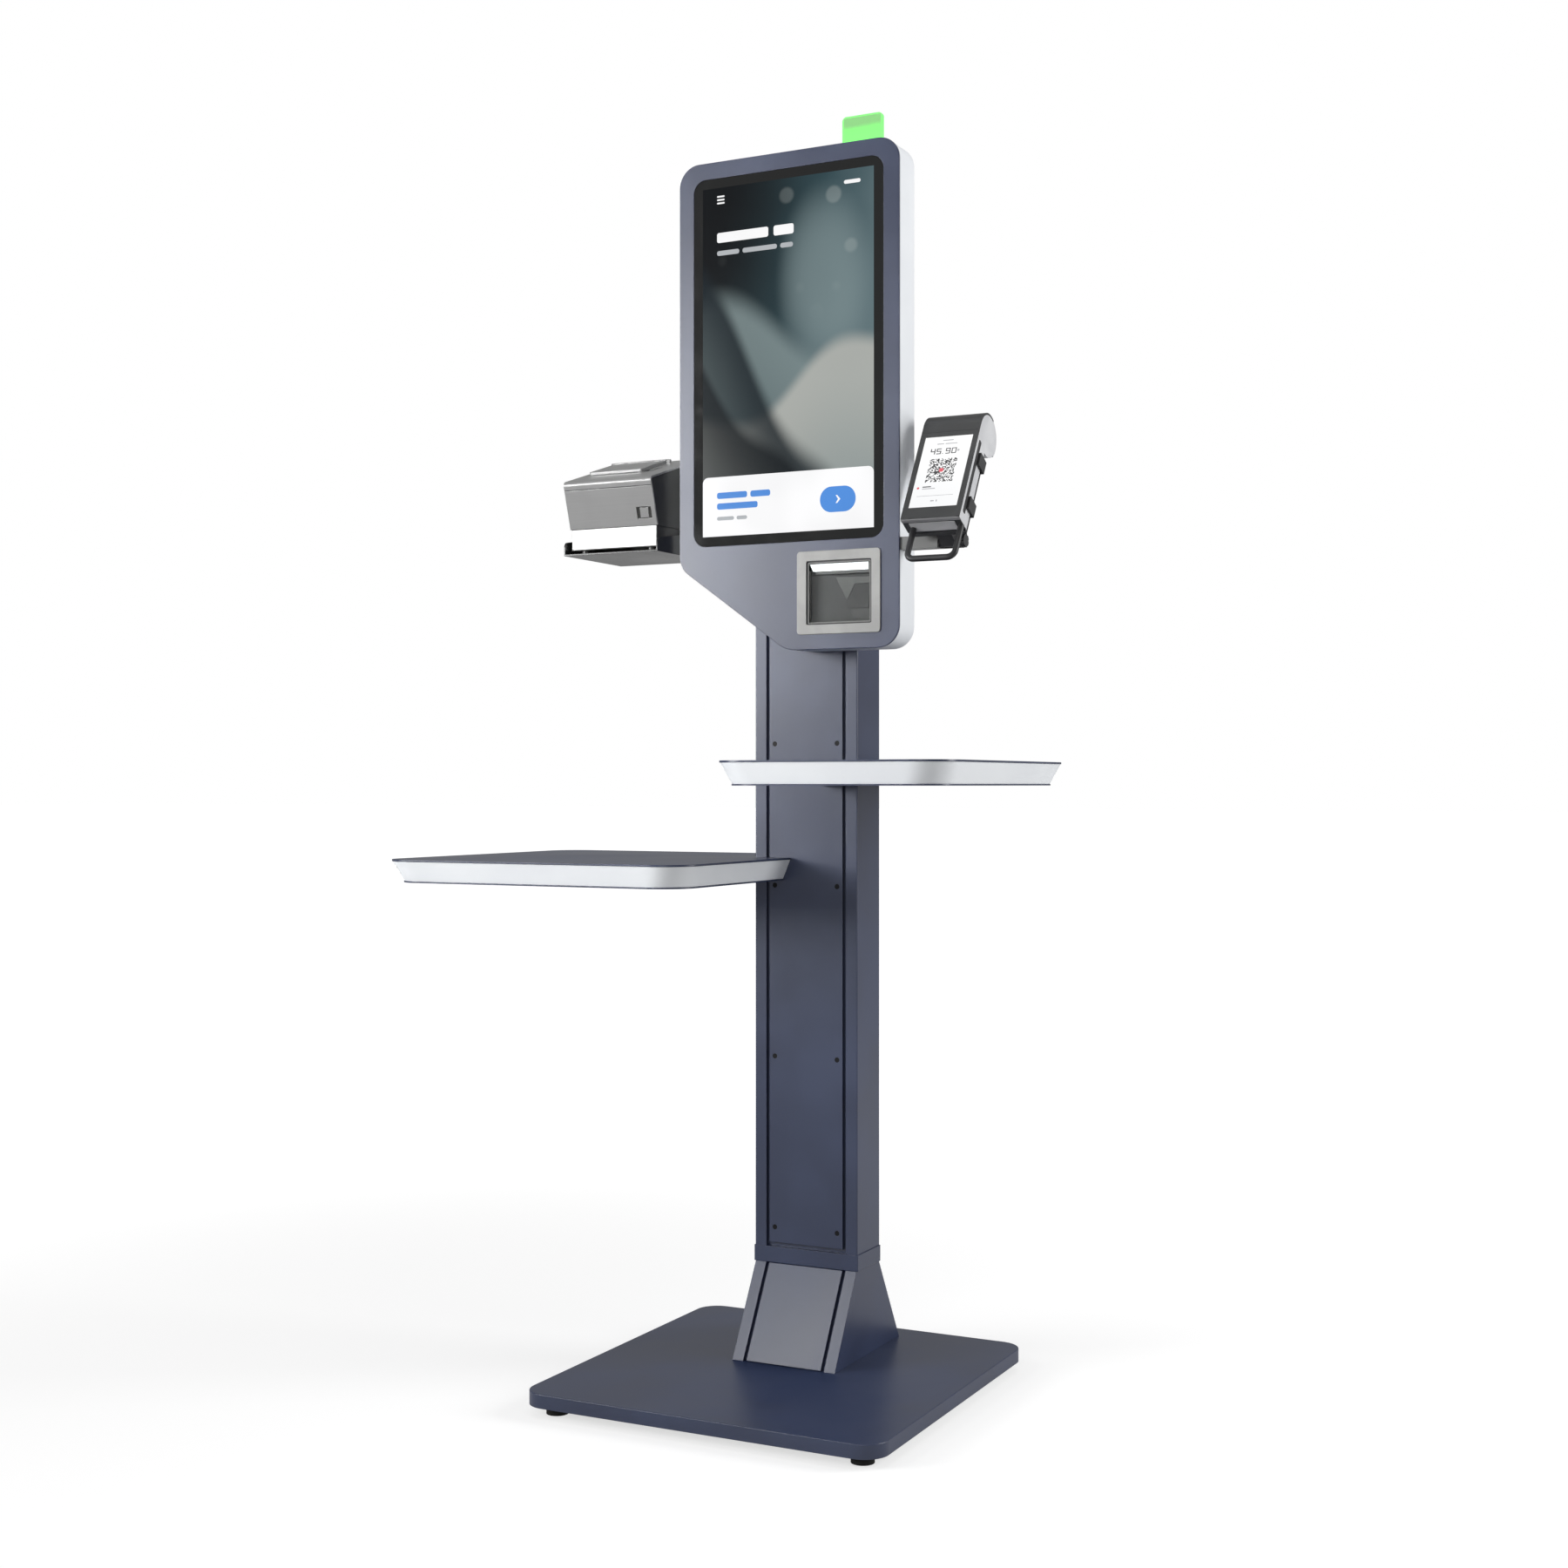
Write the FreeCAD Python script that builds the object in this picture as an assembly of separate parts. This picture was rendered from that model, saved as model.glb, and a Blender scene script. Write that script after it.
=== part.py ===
import FreeCAD, Part
import math
import os

V = FreeCAD.Vector

# Self checkout kiosk, millimetres. -Y is the customer's side, +X is the side of the payment
# terminal, +Z is up. Shapes are drawn from the middle of the floor plate, on the floor; save moves
# them so that X = 0 is midway between the outer ends of the two shelves.

# floor plate and feet
base_w = 500.0
base_d = 500.0
base_h = 18.0
base_r = 32.0
base_clear = 14.0          # floor to the underside of the floor plate
base_wall = 3.0
base_edge = 1.2            # small rounding of the top edge
ballast_t = 12.0
ballast_gap = 1.0
foot_inset = 35.0
foot_r = 14.5
foot_pad_h = 7.0
foot_pad_r = 2.0
foot_stem_r = 5.0
foot_nut_af = 17.0
foot_nut_h = 7.0
run_fit = 0.05             # radial clearance of turning fits
play = 0.3                 # clearance between parts that move past each other
fit_hole = 0.2             # room round what is let into an opening

# plinth
plinth_half_w = 76.2
plinth_wall = 3.0
plinth_front_wall = 9.0
plinth_top = 152.0
plinth_spread = 69.2
groove_half = 60.0
cover_half = 55.2
pocket = 6.0
sheet = 2.0
m8_r = 4.0
m8_head_r = 6.5
m8_head_h = 5.0
plinth_bolt_x = 45.0
plinth_bolt_y = 75.0
column_bolt_x = 62.0
column_bolt_y = 18.0
foot_rim_w = 14.0
cable_hole_half = 22.0

# column
col_half_w = 77.2
col_front = 70.1
col_back = 143.1
col_wall = 3.0
col_front_wall = 9.0
col_top = 1450.0
col_foot_t = 5.0
collar_proud = 1.2
collar_h = 21.5
panel_bottom = 179.5
panel_split = 819.0
panel_gap = 3.0
panel_top_gap = 12.0
cap_rim = 2.5
cap_plug_h = 8.0
m4_r = 2.0
m4_head_r = 3.5
m4_head_h = 1.4
panel_grip = 9.0
bolt_stickout = 4.0
screw_x = 47.0
screw_pitch = 234.1
screw_first = 200.4
back_cover_half = 56.0
back_cover_z0 = 330.0
back_cover_z1 = 930.0
back_hatch_rim = 10.0
back_screw_in = 5.0
back_screw_end = 8.0
upper_screw_end = 40.0
inlet_z = 225.0
inlet_w = 28.0
inlet_h = 22.0
inlet_depth = 24.0
inlet_wall = 2.5
inlet_ear = 10.0
inlet_blade_pitch = 7.0
inlet_blade_w = 2.0
inlet_blade_h = 5.0

# shelves: plan limits of the top board, height of its upper face
shelf_h = 31.0
shelf_top_t = 2.5
shelf_bottom_t = 2.0
shelf_inset = 11.3
shelf_r = 45.0
shelf_front = -234.5
shelf_back_r = 20.0
rim_wall = 3.0
rim_setback = 0.8
low_left = -486.0
low_right = -22.4
low_back = 227.0
low_top = 706.5
up_left = 13.0
up_right = 328.5
up_back = 212.0
up_top = 836.1
arm_w = 40.0
arm_h = 20.0
arm_wall = 2.0
flange_t = 4.0
flange_over = 14.0
frame_inset = 60.0
front_bolt_x0 = 48.0
front_bolt_x1 = 68.0
side_bolt_y = 18.0
bolt_grip = 14.0
m6_r = 3.0
m6_head_r = 5.0
m6_head_h = 3.0
bolt_len = flange_t + bolt_grip

# head
head_half_w = 163.7
head_front = 11.8
head_back = 68.1
head_z0 = 985.4
head_z1 = 1651.7
head_r = 30.0
head_toe_r = 40.0
head_cut_x = -0.6
head_cut_z = 1102.5
face_t = 3.0
shell_wall = 2.0
shell_back_r = 6.0
small_r = 0.8               # rounding of the front edges of face and bezel
col_r = 1.5                 # rounding of the column's upright edges
glass_half_w = 141.2
glass_z0 = 1129.8
glass_z1 = 1629.1
glass_r = 18.0
glass_t = 3.0
glass_sunk = 0.4           # how far the glass lies below the face
lcd_half_w = 127.5
lcd_z0 = 1143.0
lcd_z1 = 1616.0
lcd_corner_r = 10.0
lcd_t = 12.0
frame_over = 9.0
vesa_z = 1330.0
mount_half = 70.0
mount_half_h = 100.0
mount_t = 2.0
mount_screw_x = 40.0
mount_screw_z = 80.0
wiring_half = 20.0
wiring_z = 1220.0
door_x0 = 88.0
door_x1 = 152.0
door_z0 = 1180.0
door_z1 = 1480.0
door_t = 1.5
door_r = 3.0
hinge_end = 20.0
pin_r = 1.5
knuckle_r = 3.2
knuckle_h = 24.0
knuckle_gap = 0.3
lock_r = 8.0
lock_flange_r = 10.0
lock_z = 1330.0
lock_x = 99.0
cam_len = 22.0
cam_w = 9.0
cam_t = 2.0
cam_gap = 1.0
lock_flange_t = 2.0
key_slot_w = 1.6
key_slot_h = 8.0
key_slot_d = 1.4
# where computer and power supply stand
inner_x0 = -152.0
inner_x1 = -62.0
pc_z0 = 1440.0
pc_z1 = 1615.0
pc_t = 26.0
psu_z0 = 1140.0
psu_z1 = 1300.0
psu_t = 30.0
pc_ribs = 9
pc_rib_end = 5.0
pc_rib_d = 8.0
psu_plug_w = 10.0
psu_plug_z0 = 22.0
psu_plug_z1 = 6.0
psu_plug_d = 4.0
speaker_x = -55.0
speaker_z = 1090.0
speaker_r = 26.0
speaker_t = 18.0
grille_r = 2.0
grille_ring = 7.0
speaker_rim_t = 6.0
cone_rim = 4.0
cone_d = 5.0

# status light
blade_x0 = 70.2
blade_x1 = 128.5
blade_stick = 42.1           # how far the blade stands above the head
blade_t = 5.0
blade_r = 6.0
blade_y = 40.0
blade_depth = 16.0
holder_wall = 4.0
holder_floor = 4.0
shell_shy = 0.6             # how far the pale shell stands inside the face's edge

# code scanner
scan_x0 = 16.1
scan_x1 = 137.6
scan_z0 = 1005.4
scan_z1 = 1115.8
scan_r = 5.0
scan_proud = 2.0
win_x0 = 30.0
win_x1 = 125.0
win_z0 = 1018.0
win_z1 = 1102.7
win_t = 2.0
win_collar = 3.8           # what stands round the window inside the face's opening
chamber_d = 42.0
chamber_wall = 2.0
win_r = 2.5
bar_back = 4.0
bar_t = 4.0
cam_half_w = 22.0
cam_up = 8.0
cam_down = 24.0
cam_d = 10.0
nose_half_w = 15.0
nose_down = 20.0
bar_x0 = 39.0
bar_x1 = 122.5
bar_z0 = 1085.5

# receipt printer and its tray
tray_x0 = -319.0
tray_x1 = -170.0
tray_y0 = -38.0
tray_y1 = 114.0
tray_z = 1122.0
tray_side_h = 18.3
tray_slope = 0.155
tray_corner_r = 8.0
ear_drop = 4.0
ear_in = 10.0
ear_lean = 8.0
ear_y = 40.0
ear_top = 1235.0
flange_x1 = -112.0
tray_screw_x0 = -150.0
tray_screw_x1 = -124.0
tray_screw_z0 = 1145.0
tray_screw_z1 = 1220.0
base_x0 = -312.5
base_x1 = -177.0
prn_front = -27.0
prn_back = 110.0
prn_foot_h = 6.0
prn_base_h = 28.7
prn_tilt = 17.0
prn_wall = 2.5
prn_foot_r = 7.0
prn_foot_in = 15.0
cheek_margin = 6.0
cheek_front = 10.0
case_side = 0.5             # side skin of the cover outside the case
lid_deep = 12.0
latch_d = 9.0
latch_edge = 1.0
latch_lip = 2.0
lid_ear = 2.6
lid_pin_len = 8.0
lid_neck = 3.0
lid_axis_back = 1.0
skin_over = 2.0
skin_side = 1.8
door_len = 66.0
roof_len = 148.0
skin_t = 2.5
nose_r = 6.0
seam_u = 54.0
seam_w = 0.6
seam_depth = 0.5
lid_x0 = -302.0
lid_x1 = -217.0
lid_v0 = 52.0
lid_len = 72.0
lid_t = 4.5
lid_r = 2.0
lid_rim = 5.0
lid_barrel_r = 2.8
lid_pin_r = 1.4
ear_w = 5.0
latch_x0 = -204.5
latch_x1 = -181.5
latch_u0 = 9.5
latch_u1 = 25.5
latch_side = 5.0
latch_in = 0.6
roll_y = 45.0
roll_z = 1190.0
roll_r = 34.0
spindle_r = 5.5
cheek_x0 = -292.0
cheek_x1 = -227.0
cheek_t = 2.0
platen_y = 6.0
platen_z = 1222.0
platen_r = 5.0
axle_r = 2.0

# payment terminal, in its own tilted frame: x right, y up along the face, z out of the face
term_x = 185.5
term_y = -34.8
term_z = 1144.8
term_tilt = 30.5
term_w = 80.0
term_t = 30.0
term_face_t = 2.5
drum_y = 151.0
drum_r = 30.5
drum_wall = 2.8
drum_cheek = 4.0
bay_front = 3.0
bay_back = 8.0
lid_side_gap = 0.5
face_end = -10.0
lid_start = -12.0
lid_end = -112.0
scr_x0 = 7.5
scr_x1 = 73.5
scr_y0 = 16.5
scr_y1 = 131.0
scr_r = 1.5
scr_sunk = 0.4
key_y = 62.0
key_h = 14.0
key_z = -14.0
key_t = 5.0
key_proud = 1.0
key_depth = 4.0
key_travel = 1.2
cradle_t = 6.0
cradle_x0 = 1.0
cradle_x1 = term_w - cradle_x0
cradle_top = 116.0
cradle_low = -2.0
clip_w = 18.5
clip_t = 3.3
clip_front = -15.0
clip_y0 = 23.0
clip_y1 = 93.0
loop_r = 4.0
loop_x0 = 11.5
loop_x1 = 76.5
loop_low = -49.0
loop_out = -20.0
loop_bend = 10.0
arm_y0 = 15.0
arm_d = 18.0
arm_z0 = 1112.0
arm_z1 = 1128.6
arm_x1 = 216.0
foot_gap = 0.5
arm_sheet = 2.0
fork_x1 = 246.0
fork_t = 4.0
foot_x0 = arm_x1 + fork_t + foot_gap
foot_x1 = fork_x1 - fork_t - foot_gap
fork_r = 7.3
pivot_r = 3.0
knob_r = 9.0
knob_t = 6.0
knob_flutes = 6
flute_r = 2.2
flute_out = 1.0


def box(x0, x1, y0, y1, z0, z1):
    return Part.makeBox(x1 - x0, y1 - y0, z1 - z0, V(x0, y0, z0))


def rod(r, a, b):
    """Cylinder of radius r from point a to point b."""
    axis = V(*b) - V(*a)
    return Part.makeCylinder(r, axis.Length, V(*a), axis)


def rounded_wire(points, radii, place):
    """Closed wire through 2-D points, each corner rounded by its radius; place maps (u, v) to 3-D."""
    edges = []
    n = len(points)
    ends = []
    for i in range(n):
        p = V(*points[i], 0)
        a = (V(*points[i - 1], 0) - p).normalize()
        b = (V(*points[(i + 1) % n], 0) - p).normalize()
        r = radii[i]
        if r == 0:
            ends.append((p, p, p, 0))
            continue
        half = a.getAngle(b) / 2
        cut = r / math.tan(half)
        middle = p + (a + b).normalize() * (r / math.sin(half))
        top = middle + (p - middle).normalize() * r
        ends.append((p + a * cut, top, p + b * cut, r))
    for i in range(n):
        start, top, stop, r = ends[i]
        if r > 0:
            arc = Part.Arc(*[place(q.x, q.y) for q in (start, top, stop)])
            edges.append(arc.toShape())
        nxt = ends[(i + 1) % n][0]
        edges.append(Part.makeLine(place(stop.x, stop.y), place(nxt.x, nxt.y)))
    return Part.Wire(edges)


def prism(points, radii, place, along):
    """Rounded outline extruded by the vector along."""
    return Part.Face(rounded_wire(points, radii, place)).extrude(V(*along))


def flat(z):
    return lambda u, v: V(u, v, z)


def upright(y):
    return lambda u, v: V(u, y, v)


def sideways(x):
    return lambda u, v: V(x, u, v)


def rect(x0, x1, y0, y1):
    return [(x0, y0), (x1, y0), (x1, y1), (x0, y1)]


def hexagon(af, h, x, y, z):
    r = af / math.sqrt(3)
    ring = [V(x + r * math.cos(math.radians(60 * i)), y + r * math.sin(math.radians(60 * i)), z)
            for i in range(7)]
    return Part.Face(Part.makePolygon(ring)).extrude(V(0, 0, h))


def screw(p, axis, r, length, head_r, head_h):
    """Screw whose head's underside is at p; the shank runs along axis, the head against it."""
    d = V(*axis)
    shank = Part.makeCylinder(r, length, V(*p), d)
    head = Part.makeCylinder(head_r, head_h, V(*p) - d * head_h, d)
    return shank.fuse(head)


def save(name, shape):
    middle = (low_left + up_right) / 2
    shape.translated(V(-middle, 0, 0)).exportStep("parts/%s.step" % name)


# ---------------------------------------------------------------- floor plate and feet

base_top = base_clear + base_h
ballast_z = base_top - base_wall - ballast_t
foot_spots = [(sx * (base_w / 2 - foot_inset), sy * (base_d / 2 - foot_inset))
              for sx in (-1, 1) for sy in (-1, 1)]
foot_names = ["foot_front_left", "foot_back_left", "foot_front_right", "foot_back_right"]
col_mid = (col_front + col_back) / 2
plinth_bolt_spots = [(sx * plinth_bolt_x, col_mid + sy * plinth_bolt_y)
                     for sx in (-1, 1) for sy in (-1, 1)]
column_bolt_spots = [(sx * column_bolt_x, col_mid + sy * column_bolt_y)
                     for sx in (-1, 1) for sy in (-1, 1)]


def base_plate():
    outline = rect(-base_w / 2, base_w / 2, -base_d / 2, base_d / 2)
    body = prism(outline, [base_r] * 4, flat(base_clear), (0, 0, base_h))
    top = [e for e in body.Edges if abs(e.BoundBox.ZMin - base_top) < 1e-6]
    body = body.makeFillet(base_edge, top)
    w = base_wall
    inner = rect(-base_w / 2 + w, base_w / 2 - w, -base_d / 2 + w, base_d / 2 - w)
    body = body.cut(prism(inner, [base_r - w] * 4, flat(base_clear), (0, 0, base_h - w)))
    for x, y in plinth_bolt_spots:
        body = body.cut(rod(m8_r, (x, y, ballast_z), (x, y, base_top)))
    return body


def base_ballast():
    m = base_wall + ballast_gap
    outline = rect(-base_w / 2 + m, base_w / 2 - m, -base_d / 2 + m, base_d / 2 - m)
    body = prism(outline, [base_r - m] * 4, flat(ballast_z), (0, 0, ballast_t))
    for x, y in foot_spots:
        body = body.cut(rod(foot_stem_r + run_fit, (x, y, ballast_z), (x, y, ballast_z + ballast_t)))
    for x, y in plinth_bolt_spots:
        body = body.cut(rod(m8_r, (x, y, ballast_z), (x, y, ballast_z + ballast_t)))
    return body


def foot(x, y):
    pad = rod(foot_r, (x, y, 0), (x, y, foot_pad_h))
    rim = [e for e in pad.Edges if e.BoundBox.ZLength < 1e-6 and e.BoundBox.ZMin > 1]
    pad = pad.makeFillet(foot_pad_r, rim)
    return pad.fuse(rod(foot_stem_r, (x, y, foot_pad_h - 1), (x, y, ballast_z + ballast_t - 1)))


def foot_nuts():
    nuts = []
    for x, y in foot_spots:
        z = ballast_z - foot_nut_h
        nut = hexagon(foot_nut_af, foot_nut_h, x, y, z)
        nuts.append(nut.cut(rod(foot_stem_r + run_fit, (x, y, z), (x, y, ballast_z))))
    return nuts


# ---------------------------------------------------------------- plinth

def plinth_block(inset, y_in_front, y_in_back, z_top):
    """Wedge-sided block: the front and back faces spread by plinth_spread down to the base."""
    h = plinth_top - base_top
    slope = plinth_spread / h
    drop = plinth_top - z_top
    front = col_front + y_in_front
    back = col_back - y_in_back
    pts = [(front - plinth_spread, base_top), (back + plinth_spread, base_top),
           (back + slope * drop, z_top), (front - slope * drop, z_top)]
    half = plinth_half_w - inset
    return prism(pts, [0] * 4, sideways(-half), (2 * half, 0, 0))


def front_slab(half, depth, front_shift, z0, z1):
    """Slanted slab lying in the plinth's sloping front, front_shift behind its face."""
    slope = plinth_spread / (plinth_top - base_top)
    lean = 1 / math.cos(math.atan(slope))
    y0 = col_front + front_shift * lean
    y1 = y0 + depth * lean
    a, b = slope * (plinth_top - z0), slope * (plinth_top - z1)
    pts = [(y0 - a, z0), (y1 - a, z0), (y1 - b, z1), (y0 - b, z1)]
    return prism(pts, [0] * 4, sideways(-half), (2 * half, 0, 0))


def plinth_shell():
    lean = 1 / math.cos(math.atan(plinth_spread / (plinth_top - base_top)))
    outer = plinth_block(0, 0, 0, plinth_top)
    inner = plinth_block(plinth_wall, plinth_front_wall * lean, plinth_wall * lean,
                         plinth_top - plinth_wall)
    body = outer.cut(inner)
    body = body.cut(front_slab(groove_half, pocket, 0, base_top, plinth_top))
    w = plinth_half_w - plinth_wall
    reach = plinth_bolt_y + foot_rim_w
    floor = box(-w, w, col_mid - reach, col_mid + reach, base_top, base_top + plinth_wall)
    reach = plinth_bolt_y - foot_rim_w
    w = plinth_bolt_x - foot_rim_w
    floor = floor.cut(box(-w, w, col_mid - reach, col_mid + reach, base_top, base_top + plinth_wall))
    body = body.fuse(floor)
    for x, y in plinth_bolt_spots:
        body = body.cut(rod(m8_r, (x, y, base_top), (x, y, base_top + plinth_wall)))
    for x, y in column_bolt_spots:
        body = body.cut(rod(m6_r, (x, y, plinth_top - plinth_wall), (x, y, plinth_top)))
    hole = rod(cable_hole_half, (0, col_mid, plinth_top - plinth_wall), (0, col_mid, plinth_top))
    return body.cut(hole)


def plinth_cover():
    z0, z1 = base_top + 1.0, plinth_top - 1.0
    skin = front_slab(cover_half, pocket, 0, z0, z1)
    hollow = front_slab(cover_half - sheet, pocket, sheet, z0 + sheet, z1 - sheet)
    return skin.cut(hollow)


def base_fasteners():
    """Lock nuts of the feet and the bolts that hold the plinth down."""
    z = base_top + plinth_wall
    bolts = [screw((x, y, z), (0, 0, -1), m8_r, z - ballast_z, m8_head_r, m8_head_h)
             for x, y in plinth_bolt_spots]
    return Part.makeCompound(foot_nuts() + bolts)


# ---------------------------------------------------------------- column

floor_y = col_front + pocket       # face of the channel that the panels stand in
tray_screw_spots = [(x, z) for x in (tray_screw_x0, tray_screw_x1)
                    for z in (tray_screw_z0, tray_screw_z1)]
mount_screw_spots = [(sx * mount_screw_x, vesa_z + sz * mount_screw_z)
                     for sx in (-1, 1) for sz in (-1, 1)]
shelf_sides = {"low": (-1, low_top), "up": (1, up_top)}
shelf_bolt_spots = []
for toward, top in shelf_sides.values():
    bolt_z = top - shelf_top_t - arm_h / 2
    for x in (front_bolt_x0, front_bolt_x1):
        shelf_bolt_spots.append(((toward * x, col_front - flange_t, bolt_z), (0, 1, 0)))
    for sy in (-1, 1):
        shelf_bolt_spots.append(((toward * (col_half_w + flange_t), col_mid + sy * side_bolt_y, bolt_z),
                                 (-toward, 0, 0)))
screw_heights = [screw_first + i * screw_pitch for i in range(3)]
back_screw_spots = [(sx * (back_cover_half - back_screw_in), z) for sx in (-1, 1)
                    for z in (back_cover_z0 + back_screw_end, back_cover_z1 - back_screw_end)]
upper_panel_top = col_top - panel_top_gap
upper_screws = [panel_split + panel_gap + upper_screw_end, upper_panel_top - upper_screw_end]


def column_tube():
    w = col_half_w
    z0 = plinth_top
    body = box(-w, w, col_front, col_back, z0, col_top)
    edges = [e for e in body.Edges if e.BoundBox.ZLength > col_top - z0 - 1]
    body = body.makeFillet(col_r, edges)
    body = body.cut(box(-w + col_wall, w - col_wall, col_front + col_front_wall,
                        col_back - col_wall, z0 + col_foot_t, col_top))
    body = body.cut(box(-groove_half, groove_half, col_front, floor_y,
                        panel_bottom - panel_gap * 2, col_top))
    hatch = back_cover_half - back_hatch_rim
    body = body.cut(box(-hatch, hatch, col_back - col_wall, col_back,
                        back_cover_z0 + 2 * back_hatch_rim, back_cover_z1 - 2 * back_hatch_rim))
    body = body.cut(box(-inlet_w / 2, inlet_w / 2, col_back - col_wall, col_back,
                        inlet_z - inlet_h / 2, inlet_z + inlet_h / 2))
    body = body.cut(rod(cable_hole_half, (0, col_mid, z0), (0, col_mid, z0 + col_foot_t)))
    for x, y in column_bolt_spots:
        body = body.cut(rod(m6_r, (x, y, z0), (x, y, z0 + col_foot_t)))
    for z in screw_heights + upper_screws:
        for x in (-screw_x, screw_x):
            body = body.cut(rod(m4_r, (x, floor_y, z), (x, col_front + col_front_wall, z)))
    for x, z in back_screw_spots:
        body = body.cut(rod(m4_r, (x, col_back - col_wall, z), (x, col_back, z)))
    for x, z in mount_screw_spots:
        body = body.cut(rod(m6_r, (x, floor_y, z), (x, col_front + col_front_wall, z)))
    for p, axis in shelf_bolt_spots:
        body = body.cut(Part.makeCylinder(m6_r, bolt_len, V(*p), V(*axis)))
    w = wiring_half
    body = body.cut(box(-w, w, floor_y, col_front + col_front_wall, wiring_z, wiring_z + 2 * w))
    return body


def front_panel(z0, z1, heights):
    """Folded panel: a skin with returns all round, standing in the column's channel."""
    body = box(-cover_half, cover_half, col_front, floor_y, z0, z1)
    body = body.cut(box(-cover_half + sheet, cover_half - sheet, col_front + sheet, floor_y,
                        z0 + sheet, z1 - sheet))
    for z in heights:
        for x in (-screw_x, screw_x):
            body = body.cut(rod(m4_r, (x, col_front, z), (x, col_front + sheet, z)))
            body = body.cut(rod(m4_head_r, (x, col_front, z), (x, col_front + m4_head_h, z)))
    for p, axis in shelf_bolt_spots:
        body = body.cut(Part.makeCylinder(m6_r, bolt_len, V(*p), V(*axis)))
    return body


def upper_panel():
    body = front_panel(panel_split + panel_gap, upper_panel_top, upper_screws)
    w = wiring_half
    body = body.cut(box(-w, w, col_front, floor_y, wiring_z, wiring_z + 2 * w))
    for x, z in mount_screw_spots:
        body = body.cut(rod(m6_r, (x, col_front, z), (x, floor_y, z)))
    return body


def m4_screws():
    """Countersunk screws of the front panels, pan head screws of back cover and printer tray."""
    out = []
    for z in screw_heights + upper_screws:
        for x in (-screw_x, screw_x):
            out.append(screw((x, col_front + m4_head_h, z), (0, 1, 0), m4_r, panel_grip,
                             m4_head_r, m4_head_h))
    for x, z in back_screw_spots:
        out.append(screw((x, col_back + sheet, z), (0, -1, 0), m4_r, sheet + col_wall,
                         m4_head_r, m4_head_h))
    for x, z in tray_screw_spots:
        out.append(screw((x, head_back + sheet, z), (0, -1, 0), m4_r, sheet + shell_wall,
                         m4_head_r, m4_head_h))
    return Part.makeCompound(out)


def m6_bolts():
    """Bolts of the column's foot, the shelf frames and the head."""
    z = plinth_top + col_foot_t
    out = [screw((x, y, z), (0, 0, -1), m6_r, col_foot_t + plinth_wall + bolt_stickout,
                 m6_head_r, m6_head_h) for x, y in column_bolt_spots]
    out += [screw(p, axis, m6_r, bolt_len, m6_head_r, m6_head_h) for p, axis in shelf_bolt_spots]
    length = col_front + col_front_wall - back_y + bolt_stickout
    out += [screw((x, back_y, z), (0, 1, 0), m6_r, length, m6_head_r, m6_head_h)
            for x, z in mount_screw_spots]
    return Part.makeCompound(out)


def column_collar():
    w = col_half_w
    p = collar_proud
    ring = box(-w - p, w + p, col_front - p, col_back + p, plinth_top, plinth_top + collar_h)
    edges = [e for e in ring.Edges if e.BoundBox.ZLength > collar_h - 0.1]
    ring = ring.makeFillet(col_r, edges)
    hole = box(-w, w, col_front, col_back, plinth_top, plinth_top + collar_h)
    edges = [e for e in hole.Edges if e.BoundBox.ZLength > collar_h - 0.1]
    return ring.cut(hole.makeFillet(col_r, edges))


def column_back_cover():
    w = back_cover_half
    body = box(-w, w, col_back, col_back + sheet, back_cover_z0, back_cover_z1)
    for x, z in back_screw_spots:
        body = body.cut(rod(m4_r, (x, col_back, z), (x, col_back + sheet, z)))
    return body


def column_cap():
    w = col_half_w
    body = box(-w, w, col_front, col_back, col_top, col_top + cap_rim)
    top = [e for e in body.Edges if e.BoundBox.ZMin > col_top + 1]
    body = body.makeFillet(base_edge, top)
    plug = box(-w + col_wall + play, w - col_wall - play, col_front + col_front_wall + play,
               col_back - col_wall - play, col_top - cap_plug_h, col_top)
    m = play + cap_rim
    hollow = box(-w + col_wall + m, w - col_wall - m, col_front + col_front_wall + m,
                 col_back - col_wall - m, col_top - cap_plug_h, col_top)
    return body.fuse(plug.cut(hollow))


def power_inlet():
    """Appliance socket with a flange outside the wall and three contact blades in its well."""
    w, h = inlet_w / 2, inlet_h / 2
    out = col_back + sheet
    deep = col_back - inlet_depth
    flange = box(-w - inlet_ear, w + inlet_ear, col_back, out,
                 inlet_z - h - sheet, inlet_z + h + sheet)
    well = box(-w + play, w - play, deep, col_back, inlet_z - h + play, inlet_z + h - play)
    body = flange.fuse(well)
    s = inlet_wall
    body = body.cut(box(-w + s, w - s, deep + 2 * s, out, inlet_z - h + s, inlet_z + h - s))
    for i in (-1, 0, 1):
        x = i * inlet_blade_pitch
        body = body.fuse(box(x - inlet_blade_w / 2, x + inlet_blade_w / 2, deep + s, col_back - 2 * s,
                             inlet_z - inlet_blade_h / 2, inlet_z + inlet_blade_h / 2))
    return body


# ---------------------------------------------------------------- shelves

def shelf_plan(side, inset):
    """Plan outline: the sides against the column stay put, the free sides move in by inset."""
    if side == "low":
        free, end, back = low_left + inset, low_right - inset, low_back - inset
        wall = -col_half_w - play
    else:
        free, end, back = up_right - inset, up_left + inset, up_back - inset
        wall = col_half_w + play
    front = shelf_front + inset
    notch = col_front - play
    pts = [(free, front), (end, front), (end, notch), (wall, notch), (wall, back), (free, back)]
    return pts, [shelf_r, shelf_r, 0, 0, shelf_back_r, shelf_r]


def shelf_plate(side, z, t, inset):
    pts, radii = shelf_plan(side, inset)
    return Part.Face(rounded_wire(pts, radii, flat(z))).extrude(V(0, 0, t))


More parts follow.
